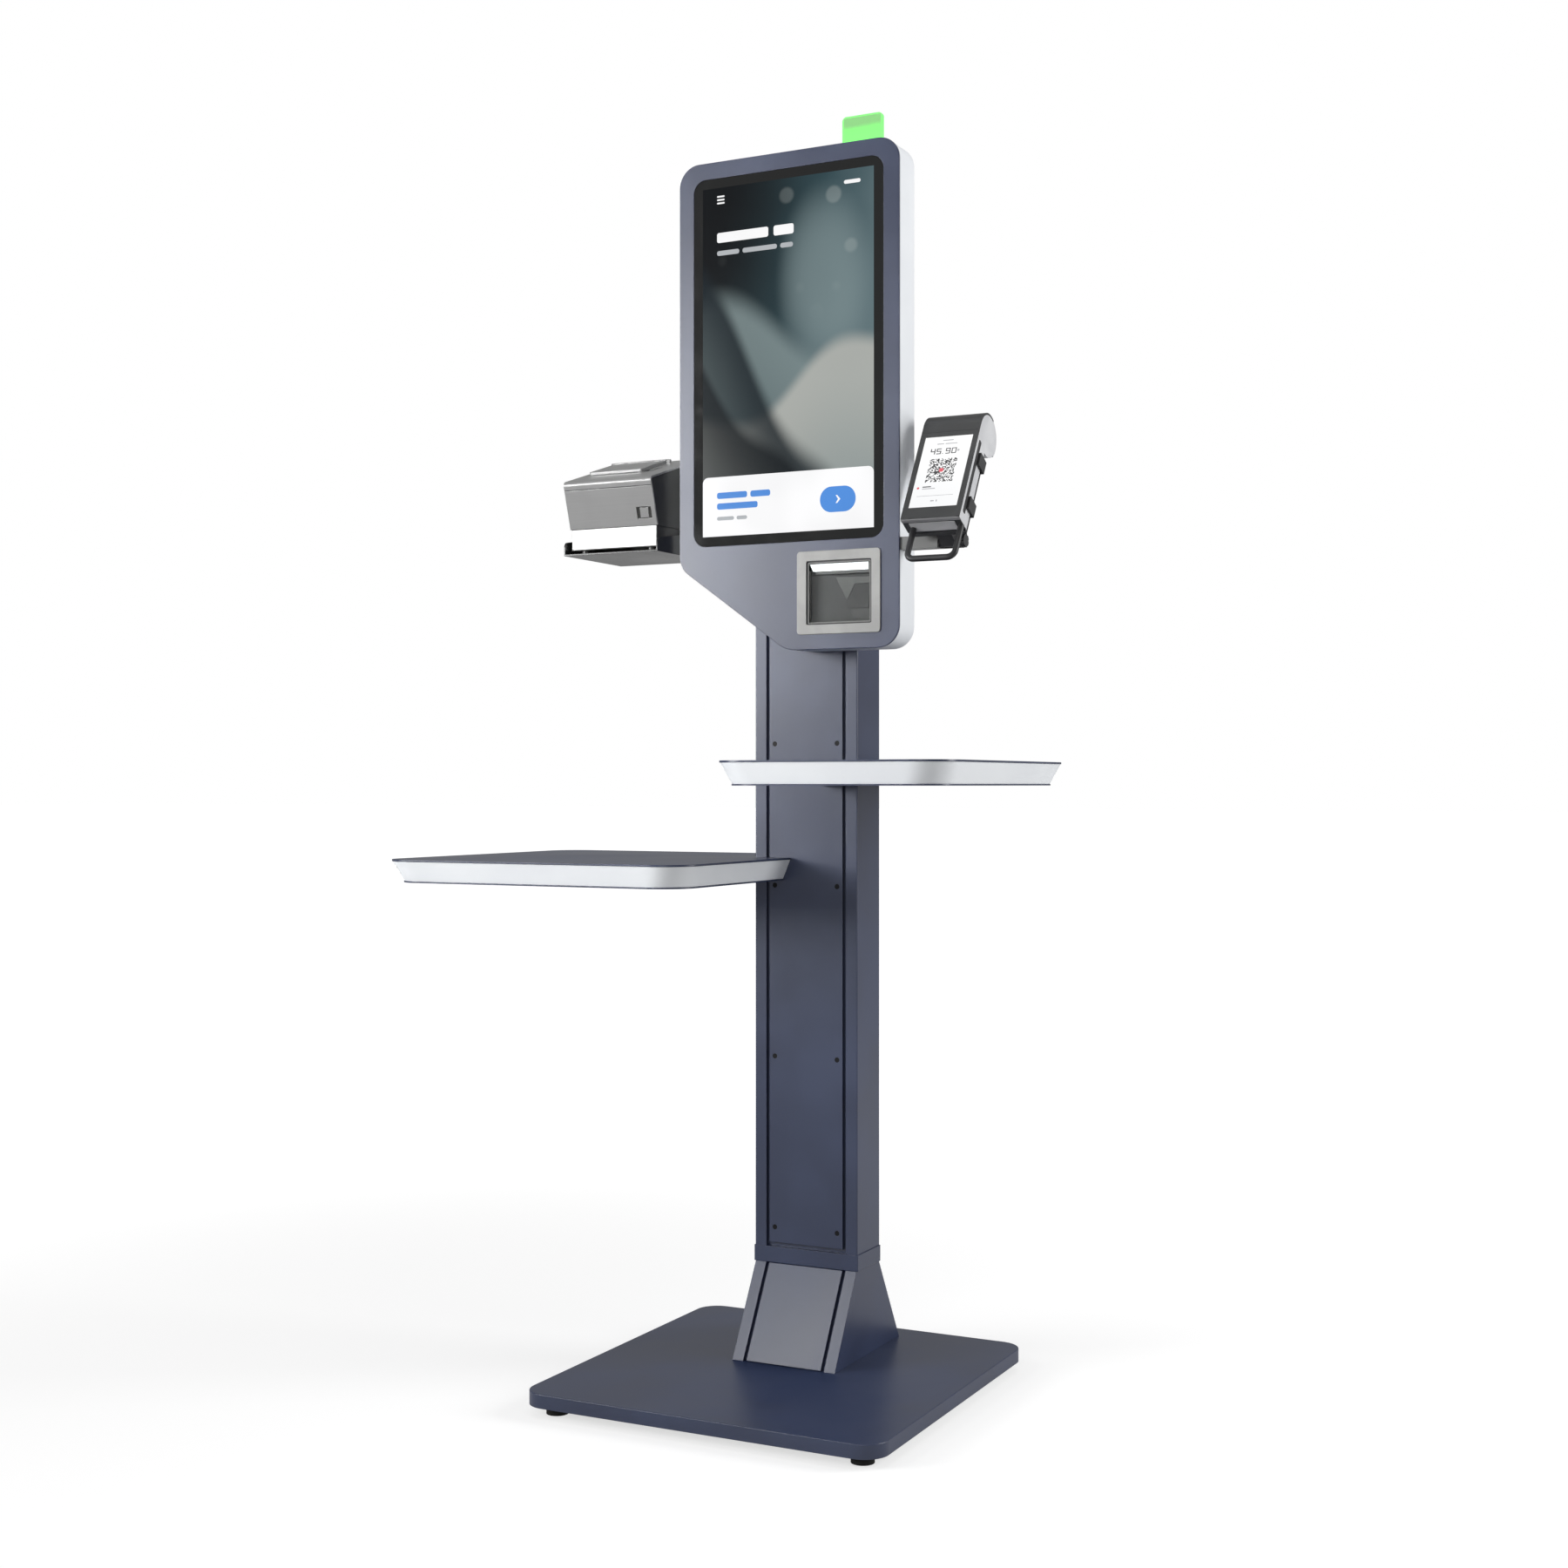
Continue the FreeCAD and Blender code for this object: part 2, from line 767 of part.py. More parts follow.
def shelf_loft(side, z_low, z_high, inset_low, inset_high):
    wires = []
    for z, inset in ((z_low, inset_low), (z_high, inset_high)):
        pts, radii = shelf_plan(side, inset)
        wires.append(rounded_wire(pts, radii, flat(z)))
    return Part.makeLoft(wires, True, True)


def shelf_rim(side, top):
    """Sloping band between the two boards: a ruled shell with an open middle."""
    z1 = top - shelf_top_t
    z0 = top - shelf_h + shelf_bottom_t
    low, high = shelf_inset + rim_setback, rim_setback
    body = shelf_loft(side, z0, z1, low, high).cut(shelf_core(side, z0, z1, low, high))
    for plate in arm_flanges(side, top, play):
        body = body.cut(plate)
    return body


def shelf_core(side, z0, z1, low, high):
    """Hollow of the rim, a wall thickness inside its faces on every side."""
    wires = []
    for z, inset in ((z0, low), (z1, high)):
        pts, radii = shelf_plan(side, inset + rim_wall)
        toward = -1 if side == "low" else 1
        shifted = []
        for i, (x, y) in enumerate(pts):
            if i in (2, 3):
                y -= rim_wall
            if i in (3, 4):
                x += toward * rim_wall
            shifted.append((x, y))
        wires.append(rounded_wire(shifted, radii, flat(z)))
    return Part.makeLoft(wires, True, True)


def tube(x0, x1, y0, y1, z0, z1, along):
    """Square tube with arm_wall walls, open at both ends along the axis named."""
    w = arm_wall
    if along == "x":
        core = box(x0, x1, y0 + w, y1 - w, z0 + w, z1 - w)
    else:
        core = box(x0 + w, x1 - w, y0, y1, z0 + w, z1 - w)
    return box(x0, x1, y0, y1, z0, z1), core


def arm_flanges(side, top, grow=0.0):
    """The two plates against the column: one on its front, one on its side."""
    toward = shelf_sides[side][0]
    z1 = top - shelf_top_t
    z0 = z1 - arm_h
    middle = toward * (front_bolt_x0 + front_bolt_x1) / 2
    xs = (middle - arm_w / 2, middle + arm_w / 2)
    front = box(xs[0] - grow, xs[1] + grow, col_front - flange_t, col_front, z0 - grow, z1 + grow)
    x = toward * col_half_w
    xs = sorted([x, x + toward * flange_t])
    reach = side_bolt_y + flange_over
    flank = box(xs[0], xs[1], col_mid - reach - grow, col_mid + reach + grow, z0 - grow, z1 + grow)
    return front, flank


def shelf_arms(side, top):
    """Welded frame: an arm from each flange and two cross tubes, close under the top board."""
    toward = shelf_sides[side][0]
    z1 = top - shelf_top_t
    z0 = z1 - arm_h
    far = low_left + frame_inset if side == "low" else up_right - frame_inset
    back = (low_back if side == "low" else up_back) - frame_inset
    near_x = toward * (front_bolt_x0 + front_bolt_x1) / 2
    half = arm_w / 2
    front = shelf_front + frame_inset
    flank_x = toward * (col_half_w + flange_t)
    spans = [(*sorted([far, flank_x]), col_mid - half, col_mid + half, "x"),
             (near_x - half, near_x + half, front, col_front - flange_t, "y"),
             (far - half, far + half, front, back, "y"),
             (*sorted([far, near_x]), front, front + arm_w, "x")]
    shells, cores = [], []
    for x0, x1, y0, y1, along in spans:
        shell, core = tube(x0, x1, y0, y1, z0, z1, along)
        shells.append(shell)
        cores.append(core)
    body = shells[0].multiFuse(shells[1:] + list(arm_flanges(side, top)))
    for core in cores:
        body = body.cut(core)
    for p, axis in shelf_bolt_spots:
        body = body.cut(Part.makeCylinder(m6_r, bolt_len, V(*p), V(*axis)))
        body = body.cut(Part.makeCylinder(m6_head_r + play, m6_head_h + play, V(*p), V(*axis) * -1))
    return body.removeSplitter()


# ---------------------------------------------------------------- head

def head_outline(inset):
    """Front outline with the lower left corner cut off, drawn inset from the true outline."""
    w = head_half_w - inset
    z0, z1 = head_z0 + inset, head_z1 - inset
    dx, dz = head_cut_x + head_half_w, head_cut_z - head_z0
    length = math.hypot(dx, dz)
    shift = inset / (dx / length)
    slope = dz / dx
    cut_z = head_cut_z + shift - slope * inset
    cut_x = -w + (cut_z - z0) / slope
    pts = [(-w, cut_z), (cut_x, z0), (w, z0), (w, z1), (-w, z1)]
    r = head_r - inset
    return pts, [r, head_toe_r - inset, r, r, r]


def head_plate(inset, y, t):
    pts, radii = head_outline(inset)
    return prism(pts, radii, upright(y), (0, t, 0))


def window(x0, x1, z0, z1, r, y, t):
    return prism(rect(x0, x1, z0, z1), [r] * 4, upright(y), (0, t, 0))


shell_y = head_front + face_t
glass_y = head_front + glass_sunk
back_y = head_back - shell_wall


def head_face():
    """Front plate with openings for the display glass and the scanner."""
    body = head_plate(0, head_front, face_t)
    front = [e for e in body.Edges if e.BoundBox.YMax < head_front + 1e-6]
    body = body.makeFillet(small_r, front)
    f = fit_hole
    body = body.cut(window(-glass_half_w - f, glass_half_w + f, glass_z0 - f, glass_z1 + f,
                           glass_r + f, head_front, face_t))
    c = win_collar + fit_hole
    return body.cut(window(win_x0 - c, win_x1 + c, win_z0 - c, win_z1 + c, win_r, head_front, face_t))


def head_shell():
    """Pale side shell and back wall in one, open to the front."""
    body = head_plate(shell_shy, shell_y, head_back - shell_y)
    rear = [e for e in body.Edges if e.BoundBox.YMin > head_back - 1e-6]
    body = body.makeFillet(shell_back_r, rear)
    body = body.cut(head_plate(shell_shy + shell_wall, shell_y, back_y - shell_y))
    body = body.cut(window(door_x0 - play, door_x1 + play, door_z0 - play, door_z1 + play, door_r,
                           back_y, shell_wall))
    w = wiring_half
    body = body.cut(box(-w, w, back_y, head_back, wiring_z, wiring_z + 2 * w))
    for x, z in mount_screw_spots:
        body = body.cut(rod(m6_r, (x, back_y, z), (x, head_back, z)))
    for x, z in tray_screw_spots:
        body = body.cut(rod(m4_r, (x, back_y, z), (x, head_back, z)))
    f = fit_hole
    slot = box(blade_x0 - f, blade_x1 + f, blade_y - blade_t / 2 - f, blade_y + blade_t / 2 + f,
               head_z1 - shell_wall - 1, head_z1)
    body = body.cut(slot)
    return body


def head_mount_plate():
    body = box(-mount_half, mount_half, head_back, head_back + mount_t,
               vesa_z - mount_half_h, vesa_z + mount_half_h)
    for x, z in mount_screw_spots:
        body = body.cut(rod(m6_r, (x, head_back, z), (x, head_back + mount_t, z)))
    w = wiring_half
    return body.cut(box(-w, w, head_back, head_back + mount_t, wiring_z, wiring_z + 2 * w))


def display_glass():
    return window(-glass_half_w, glass_half_w, glass_z0, glass_z1, glass_r, glass_y, glass_t)


def display_panel():
    """Display module with the folded frame that holds it and the glass against the face."""
    x, z0, z1 = glass_half_w + frame_over, glass_z0 - frame_over, glass_z1 + frame_over
    body = window(-x, x, z0, z1, lcd_corner_r, shell_y, lcd_t + sheet)
    edge = glass_half_w + play
    body = body.cut(box(-edge, edge, shell_y, glass_y + glass_t, glass_z0 - play, glass_z1 + play))
    rear = glass_y + glass_t + lcd_t
    inner = lcd_half_w - frame_over
    return body.cut(box(-inner, inner, rear, shell_y + lcd_t + sheet,
                        lcd_z0 + frame_over, lcd_z1 - frame_over))


def control_computer():
    """Flat computer: a case with cooling ribs, standing against the head's back wall."""
    y0 = back_y - pc_t
    body = box(inner_x0, inner_x1, y0, back_y, pc_z0, pc_z1)
    e = pc_rib_end
    pitch = (pc_z1 - pc_z0 - 2 * e) / pc_ribs
    for i in range(pc_ribs):
        z = pc_z0 + e + pitch * (i + 0.5)
        body = body.cut(box(inner_x0 + e, inner_x1 - e, y0, y0 + pc_rib_d,
                            z - pitch / 4, z + pitch / 4))
    return body


def power_supply():
    y0 = back_y - psu_t
    body = box(inner_x0, inner_x1, y0, back_y, psu_z0, psu_z1)
    return body.cut(box(inner_x0 + psu_plug_w, inner_x1 - psu_plug_w, y0, y0 + psu_plug_d,
                        psu_z1 - psu_plug_z0, psu_z1 - psu_plug_z1))


def speaker_holes(y, t):
    holes = [rod(grille_r, (speaker_x, y, speaker_z), (speaker_x, y + t, speaker_z))]
    for ring, count in ((grille_ring, 6), (2 * grille_ring, 12)):
        for i in range(count):
            a = 2 * math.pi * i / count
            x, z = speaker_x + ring * math.cos(a), speaker_z + ring * math.sin(a)
            holes.append(rod(grille_r, (x, y, z), (x, y + t, z)))
    return Part.makeCompound(holes)


def loudspeaker():
    """Round basket against the back wall, open cone towards the holes, magnet behind."""
    x, z = speaker_x, speaker_z
    rim_y = back_y - speaker_rim_t
    body = rod(speaker_r, (x, rim_y, z), (x, back_y, z))
    body = body.fuse(rod(speaker_r * 0.6, (x, back_y - speaker_t, z), (x, rim_y, z)))
    cone = Part.makeCone(speaker_r * 0.3, speaker_r - cone_rim, cone_d,
                         V(x, back_y - cone_d, z), V(0, 1, 0))
    return body.cut(cone)


hinge_x = door_x1 + play / 2
hinge_y = head_back + knuckle_r + knuckle_gap
knuckle_rows = [door_z0 + hinge_end, door_z1 - hinge_end - 3 * knuckle_h - 2 * play]


def knuckle(z, toward, bore):
    """One hinge knuckle with its foot on the head's back, at the side named by toward."""
    body = rod(knuckle_r, (hinge_x, hinge_y, z), (hinge_x, hinge_y, z + knuckle_h))
    xs = sorted([hinge_x + toward * play / 2, hinge_x + toward * knuckle_r])
    body = body.fuse(box(xs[0], xs[1], head_back - door_t, hinge_y, z, z + knuckle_h))
    return body.cut(rod(bore, (hinge_x, hinge_y, z), (hinge_x, hinge_y, z + knuckle_h)))


def shell_with_hinges():
    body = head_shell().cut(speaker_holes(back_y, shell_wall))
    for row in knuckle_rows:
        for z in (row, row + 2 * (knuckle_h + play)):
            body = body.fuse(knuckle(z, 1, pin_r))
        length = 3 * knuckle_h + 2 * play
        body = body.fuse(rod(pin_r, (hinge_x, hinge_y, row), (hinge_x, hinge_y, row + length)))
    return body


def service_door():
    body = window(door_x0, door_x1, door_z0, door_z1, door_r, head_back - door_t, door_t)
    for row in knuckle_rows:
        body = body.fuse(knuckle(row + knuckle_h + play, -1, pin_r + run_fit))
    hole = rod(lock_r + run_fit, (lock_x, head_back - door_t, lock_z), (lock_x, head_back, lock_z))
    return body.cut(hole)


def cam_lock():
    """Barrel with flange outside the door and a cam inside, hanging down when unlocked."""
    y_in = back_y - cam_gap - cam_t
    out = head_back + lock_flange_t
    body = rod(lock_r, (lock_x, y_in, lock_z), (lock_x, out, lock_z))
    body = body.fuse(rod(lock_flange_r, (lock_x, head_back + run_fit, lock_z), (lock_x, out, lock_z)))
    body = body.cut(box(lock_x - key_slot_w / 2, lock_x + key_slot_w / 2, out - key_slot_d, out,
                        lock_z - key_slot_h / 2, lock_z + key_slot_h / 2))
    cam = box(lock_x - cam_w / 2, lock_x + cam_w / 2, y_in, y_in + cam_t, lock_z - cam_len, lock_z)
    return body.fuse(cam)


# ---------------------------------------------------------------- status light

blade_top = head_z1 + blade_stick
light_top = head_z1 - shell_shy - shell_wall
light_z0 = light_top - blade_depth


def status_light_blade():
    pts = rect(blade_x0, blade_x1, light_z0 + holder_floor, blade_top)
    return prism(pts, [0, 0, blade_r, blade_r], upright(blade_y - blade_t / 2), (0, blade_t, 0))


def status_light_holder():
    f = fit_hole
    w = holder_wall
    body = box(blade_x0 - w, blade_x1 + w, blade_y - blade_t / 2 - w, blade_y + blade_t / 2 + w,
               light_z0, light_top)
    return body.cut(box(blade_x0 - f, blade_x1 + f, blade_y - blade_t / 2 - f,
                        blade_y + blade_t / 2 + f, light_z0 + holder_floor, light_top))


# ---------------------------------------------------------------- code scanner

def scanner_bezel():
    y0 = head_front - scan_proud
    body = window(scan_x0, scan_x1, scan_z0, scan_z1, scan_r, y0, scan_proud)
    front = [e for e in body.Edges if e.BoundBox.YMax < y0 + 1e-6]
    body = body.makeFillet(small_r, front)
    c = win_collar
    body = body.fuse(window(win_x0 - c, win_x1 + c, win_z0 - c, win_z1 + c, win_r,
                            head_front, face_t))
    return body.cut(window(win_x0, win_x1, win_z0, win_z1, win_r, y0, scan_proud + face_t))


def scanner_window():
    return box(win_x0 - win_collar, win_x1 + win_collar, shell_y, shell_y + win_t,
               win_z0 - win_collar, win_z1 + win_collar)


def scanner_chamber():
    c, w = win_collar + fit_hole, chamber_wall
    body = box(win_x0 - c - w, win_x1 + c + w, shell_y, shell_y + chamber_d,
               win_z0 - c - w, win_z1 + c + w)
    return body.cut(box(win_x0 - c, win_x1 + c, shell_y, shell_y + chamber_d - w,
                        win_z0 - c, win_z1 + c))


def scanner_light_bar():
    top = win_z1 + win_collar + fit_hole
    y0 = shell_y + win_t + bar_back
    return box(bar_x0, bar_x1, y0, y0 + bar_t, bar_z0, top)


def scanner_camera():
    """Camera block at the chamber's back with a wedge-shaped mirror nose."""
    y1 = shell_y + chamber_d - chamber_wall
    x, z = (win_x0 + win_x1) / 2, (win_z0 + win_z1) / 2
    top = z + cam_up
    block = box(x - cam_half_w, x + cam_half_w, y1 - cam_d, y1, z - cam_down, top)
    pts = [(x - nose_half_w, top), (x, z - nose_down), (x + nose_half_w, top)]
    nose = prism(pts, [0] * 3, upright(y1 - 2 * cam_d), (0, cam_d, 0))
    return block.fuse(nose)


# ---------------------------------------------------------------- receipt printer

floor_z = tray_z + sheet
prn_z0 = floor_z + prn_foot_h
prn_z1 = prn_z0 + prn_base_h
lean_sin, lean_cos = math.sin(math.radians(prn_tilt)), math.cos(math.radians(prn_tilt))
lid_axis = (door_len + play + lid_barrel_r, lid_v0 + lid_len + lid_axis_back)


def leaning(u, v):
    """(y, z) of a point u up along the leaning door and v behind its face."""
    return (prn_front - skin_over - u * lean_sin + v * lean_cos, prn_z1 + u * lean_cos + v * lean_sin)


def leaning_block(x0, x1, u0, u1, v0, v1):
    pts = [leaning(u0, v0), leaning(u1, v0), leaning(u1, v1), leaning(u0, v1)]
    return prism(pts, [0] * 4, sideways(x0), (x1 - x0, 0, 0))


def tray_side(x):
    """Low side wall whose upper edge climbs towards the back."""
    z_front = tray_z + tray_side_h
    z_back = z_front + tray_slope * (tray_y1 - tray_y0)
    pts = [(tray_y0, tray_z), (tray_y1, tray_z), (tray_y1, z_back), (tray_y0, z_front)]
    return prism(pts, [0, 0, tray_corner_r, tray_corner_r], sideways(x), (sheet, 0, 0))


def printer_tray():
    body = box(tray_x0, tray_x1, tray_y0, tray_y1, tray_z, floor_z)
    body = body.fuse(tray_side(tray_x0))
    x = tray_x1 - sheet
    body = body.fuse(tray_side(x))
    low = tray_z + tray_side_h + tray_slope * (ear_y - tray_y0) - ear_drop
    pts = [(ear_y, low), (tray_y1 - ear_in, low), (tray_y1 - ear_in - ear_lean, ear_top),
           (head_back, ear_top)]
    body = body.fuse(prism(pts, [0, 0, tray_corner_r, 0], sideways(x), (sheet, 0, 0)))
    body = body.fuse(box(x, flange_x1, head_back, head_back + sheet, floor_z + prn_foot_h, ear_top))
    for px, pz in tray_screw_spots:
        body = body.cut(rod(m4_r, (px, head_back, pz), (px, head_back + sheet, pz)))
    return body


def printer_base():
    """Pale lower case on four feet, with the cheeks and spindle that carry the paper."""
    w = prn_wall
    body = box(base_x0, base_x1, prn_front, prn_back, prn_z0, prn_z1)
    body = body.cut(box(base_x0 + w, base_x1 - w, prn_front + w, prn_back - w, prn_z0 + w, prn_z1))
    f = prn_foot_in
    for x in (base_x0 + f, base_x1 - f):
        for y in (prn_front + f, prn_back - f):
            body = body.fuse(rod(prn_foot_r, (x, y, floor_z), (x, y, prn_z0)))
    m = cheek_margin
    pts = [(platen_y - cheek_front, prn_z0 + w), (roll_y + roll_r, prn_z0 + w),
           (roll_y + roll_r, roll_z + roll_r + m), (platen_y - cheek_front, platen_z + m)]
    for x in (cheek_x0 - cheek_t, cheek_x1):
        cheek = prism(pts, [0] * 4, sideways(x), (cheek_t, 0, 0))
        cheek = cheek.cut(rod(axle_r + run_fit, (x, platen_y, platen_z),
                              (x + cheek_t, platen_y, platen_z)))
        body = body.fuse(cheek)
    return body.fuse(rod(spindle_r, (cheek_x0, roll_y, roll_z), (cheek_x1, roll_y, roll_z)))


def paper_roll():
    x0, x1 = cheek_x0 + 2 * play, cheek_x1 - 2 * play
    body = rod(roll_r, (x0, roll_y, roll_z), (x1, roll_y, roll_z))
    return body.cut(rod(spindle_r + run_fit, (x0, roll_y, roll_z), (x1, roll_y, roll_z)))


def platen_roller():
    body = rod(platen_r, (cheek_x0 + play, platen_y, platen_z), (cheek_x1 - play, platen_y, platen_z))
    return body.fuse(rod(axle_r, (cheek_x0 - cheek_t, platen_y, platen_z),
                         (cheek_x1 + cheek_t, platen_y, platen_z)))


def case_profile(inset):
    """Side outline of the upper case, inset from the inside of the door and roof skin."""
    d = skin_t + inset
    top_front = leaning(door_len - d, d)
    top_back = leaning(door_len - d, roof_len - inset)
    low = leaning(-d * lean_sin / lean_cos, d)
    back = prn_back - inset
    run = (back - top_back[0]) / lean_sin
    knee = (back, top_back[1] - run * lean_cos)
    return [low, (back, prn_z1), knee, top_back, top_front]


def printer_case():
    x0, x1 = base_x0 - skin_side + case_side, base_x1 + skin_side - case_side
    r = [0, 0, prn_wall + 1, prn_wall + 1, nose_r - skin_t]
    body = prism(case_profile(0), r, sideways(x0), (x1 - x0, 0, 0))
    w = prn_wall
    pts = case_profile(w)
    body = body.cut(prism(pts, [0] * 5, sideways(x0 + w), (x1 - x0 - 2 * w, 0, 0)))
    r = lid_rim
    body = body.cut(leaning_block(lid_x0 + r, lid_x1 - r, door_len - lid_deep, door_len,
                                  lid_v0 + r, lid_v0 + lid_len - r))
    s, e = latch_side - run_fit * 3, latch_edge - run_fit * 3
    return body.cut(leaning_block(latch_x0 + s, latch_x1 - s, latch_u0 + e, latch_u1 - e, 0, latch_d))


def printer_skin():
    """Grey folded cover: leaning door and sloping roof in one, rounded at the nose."""
    x0, x1 = base_x0 - skin_side, base_x1 + skin_side
    t = skin_t
    pts = [leaning(0, 0), leaning(0, t), leaning(door_len - t, t), leaning(door_len - t, roof_len),
           leaning(door_len, roof_len), leaning(door_len, 0)]
    body = prism(pts, [0, 0, nose_r - t, 0, 0, nose_r], sideways(x0), (x1 - x0, 0, 0))
    body = body.cut(leaning_block(x0, x1, seam_u, seam_u + seam_w, 0, seam_depth))
    r = lid_rim
    body = body.cut(leaning_block(lid_x0 + r, lid_x1 - r, door_len - t, door_len,
                                  lid_v0 + r, lid_v0 + lid_len - r))
    body = body.cut(leaning_block(latch_x0, latch_x1, latch_u0, latch_u1, 0, t))
    for x, toward in ((lid_x0, -1), (lid_x1, 1)):
        xs = sorted([x + toward * play, x + toward * (play + ear_w)])
        y, z = leaning(*lid_axis)
        ear = leaning_block(xs[0], xs[1], door_len, lid_axis[0],
                            lid_axis[1] - lid_ear, lid_axis[1] + lid_ear)
        ear = ear.fuse(rod(lid_ear, (xs[0], y, z), (xs[1], y, z)))
        body = body.fuse(ear)
        body = body.fuse(rod(lid_pin_r, (x + toward * play, y, z), (x - toward * lid_pin_len, y, z)))
    return body


def printer_lid():
    """Raised plate over the paper bay, with a hinge barrel along its rear edge."""
    u0 = door_len + play
    body = leaning_block(lid_x0, lid_x1, u0, u0 + lid_t, lid_v0, lid_v0 + lid_len - lid_neck)
    corners = [e for e in body.Edges if abs(e.BoundBox.XLength) < 1e-6 and e.Length < lid_t + 0.1]
    front = [e for e in corners if e.BoundBox.YMax < leaning(u0, lid_v0 + lid_t)[0]]
    body = body.makeFillet(lid_r, front)
    y, z = leaning(*lid_axis)
    neck = leaning_block(lid_x0, lid_x1, u0, u0 + lid_barrel_r * 2,
                         lid_v0 + lid_len - lid_neck - 1, lid_axis[1])
    body = body.fuse(neck).fuse(rod(lid_barrel_r, (lid_x0, y, z), (lid_x1, y, z)))
    return body.cut(rod(lid_pin_r + run_fit, (lid_x0, y, z), (lid_x1, y, z)))


def printer_latch():
    """Push button in the door's recess; a wider flange inside keeps it from falling out."""
    x0, x1 = latch_x0 + latch_side, latch_x1 - latch_side
    e, lip = latch_edge, latch_lip
    body = leaning_block(x0, x1, latch_u0 + e, latch_u1 - e, latch_in, latch_d)
    v = skin_t + prn_wall + play
    return body.fuse(leaning_block(x0 - lip, x1 + lip, latch_u0 - e, latch_u1 + e, v, v + lip))


# ---------------------------------------------------------------- payment terminal

tilt = math.radians(term_tilt)
term_place = FreeCAD.Placement(FreeCAD.Matrix(
    1, 0, 0, term_x,
    0, math.sin(tilt), -math.cos(tilt), term_y,
    0, math.cos(tilt), math.sin(tilt), term_z,
    0, 0, 0, 1))


def lean_back(shape):
    """Move a shape from the terminal's own frame to its place."""
    out = shape.copy()
    out.Placement = term_place.multiply(out.Placement)
    return out


def drum_sector(r_in, r_out, a0, a1, x0, x1):
    """Part of a ring round the paper drum, angles in degrees from +y towards the face."""
    def at(r, a):
        a = math.radians(a)
        return V(x0, drum_y + r * math.cos(a), -drum_r + r * math.sin(a))
    mid = (a0 + a1) / 2
    edges = [Part.Arc(at(r_out, a0), at(r_out, mid), at(r_out, a1)).toShape(),
             Part.makeLine(at(r_out, a1), at(r_in, a1)),
             Part.Arc(at(r_in, a1), at(r_in, mid), at(r_in, a0)).toShape(),
             Part.makeLine(at(r_in, a0), at(r_out, a0))]
    return Part.Face(Part.Wire(edges)).extrude(V(x1 - x0, 0, 0))


def terminal_face():
    body = box(0, term_w, 0, drum_y, -term_face_t, 0)
    body = body.fuse(drum_sector(drum_r - term_face_t, drum_r, face_end, 90, 0, term_w))
    f = fit_hole
    slot = prism(rect(scr_x0 - f, scr_x1 + f, scr_y0 - f, scr_y1 + f), [scr_r] * 4,
                 flat(-term_face_t), (0, 0, term_face_t))
    return lean_back(body.cut(slot))


def terminal_screen():
    body = prism(rect(scr_x0, scr_x1, scr_y0, scr_y1), [scr_r] * 4, flat(-term_face_t),
                 (0, 0, term_face_t - scr_sunk))
    return lean_back(body)


def terminal_back():
    """Pale rear shell with the drum that holds the receipt paper."""
    inner = drum_r - drum_wall
    body = box(0, term_w, 0, drum_y, -term_t, -term_face_t)
    drum = rod(inner, (0, drum_y, -drum_r), (term_w, drum_y, -drum_r))
    body = body.fuse(drum)
    body = body.cut(drum_sector(lid_side_gap, inner, lid_end + bay_back, lid_start - bay_front,
                                drum_cheek, term_w - drum_cheek))
    f = fit_hole
    body = body.cut(box(0, key_depth, key_y - f, key_y + key_h + f, key_z - f, key_z + key_t + f))
    return lean_back(body)


def terminal_key():
    return lean_back(box(-key_proud, key_depth - key_travel, key_y, key_y + key_h, key_z, key_z + key_t))


def terminal_lid():
    return lean_back(drum_sector(drum_r - term_face_t, drum_r, lid_end, lid_start,
                                 lid_side_gap, term_w - lid_side_gap))


pivot_y, pivot_z = arm_y0 + arm_d / 2, (arm_z0 + arm_z1) / 2


def pivot_rod(r, x0, x1):
    return rod(r, (x0, pivot_y, pivot_z), (x1, pivot_y, pivot_z))


def terminal_cradle():
    """Plate behind the terminal with four clips, and the foot that the pivot bolt passes through."""
    back = -term_t - cradle_t
    f = fit_hole
    body = box(cradle_x0, cradle_x1, cradle_low, cradle_top, back, -term_t)
    for y in (clip_y0, clip_y1):
        body = body.fuse(box(-clip_t - f, term_w + clip_t + f, y, y + clip_w, back, -term_t))
        for x in (-clip_t - f, term_w + f):
            body = body.fuse(box(x, x + clip_t, y, y + clip_w, back, clip_front))
    body = lean_back(body)
    boss = pivot_rod(fork_r, foot_x0, foot_x1)
    x0, x1 = foot_x0 - term_x, foot_x1 - term_x
    dy, dz = pivot_y - term_y, pivot_z - term_z
    py = dy * math.sin(tilt) + dz * math.cos(tilt)
    pz = dz * math.sin(tilt) - dy * math.cos(tilt)
    neck = lean_back(box(x0, x1, py - fork_r, py + fork_r, pz, -term_t - 1))
    body = body.fuse(boss).fuse(neck)
    return body.cut(pivot_rod(pivot_r + run_fit, foot_x0, foot_x1))


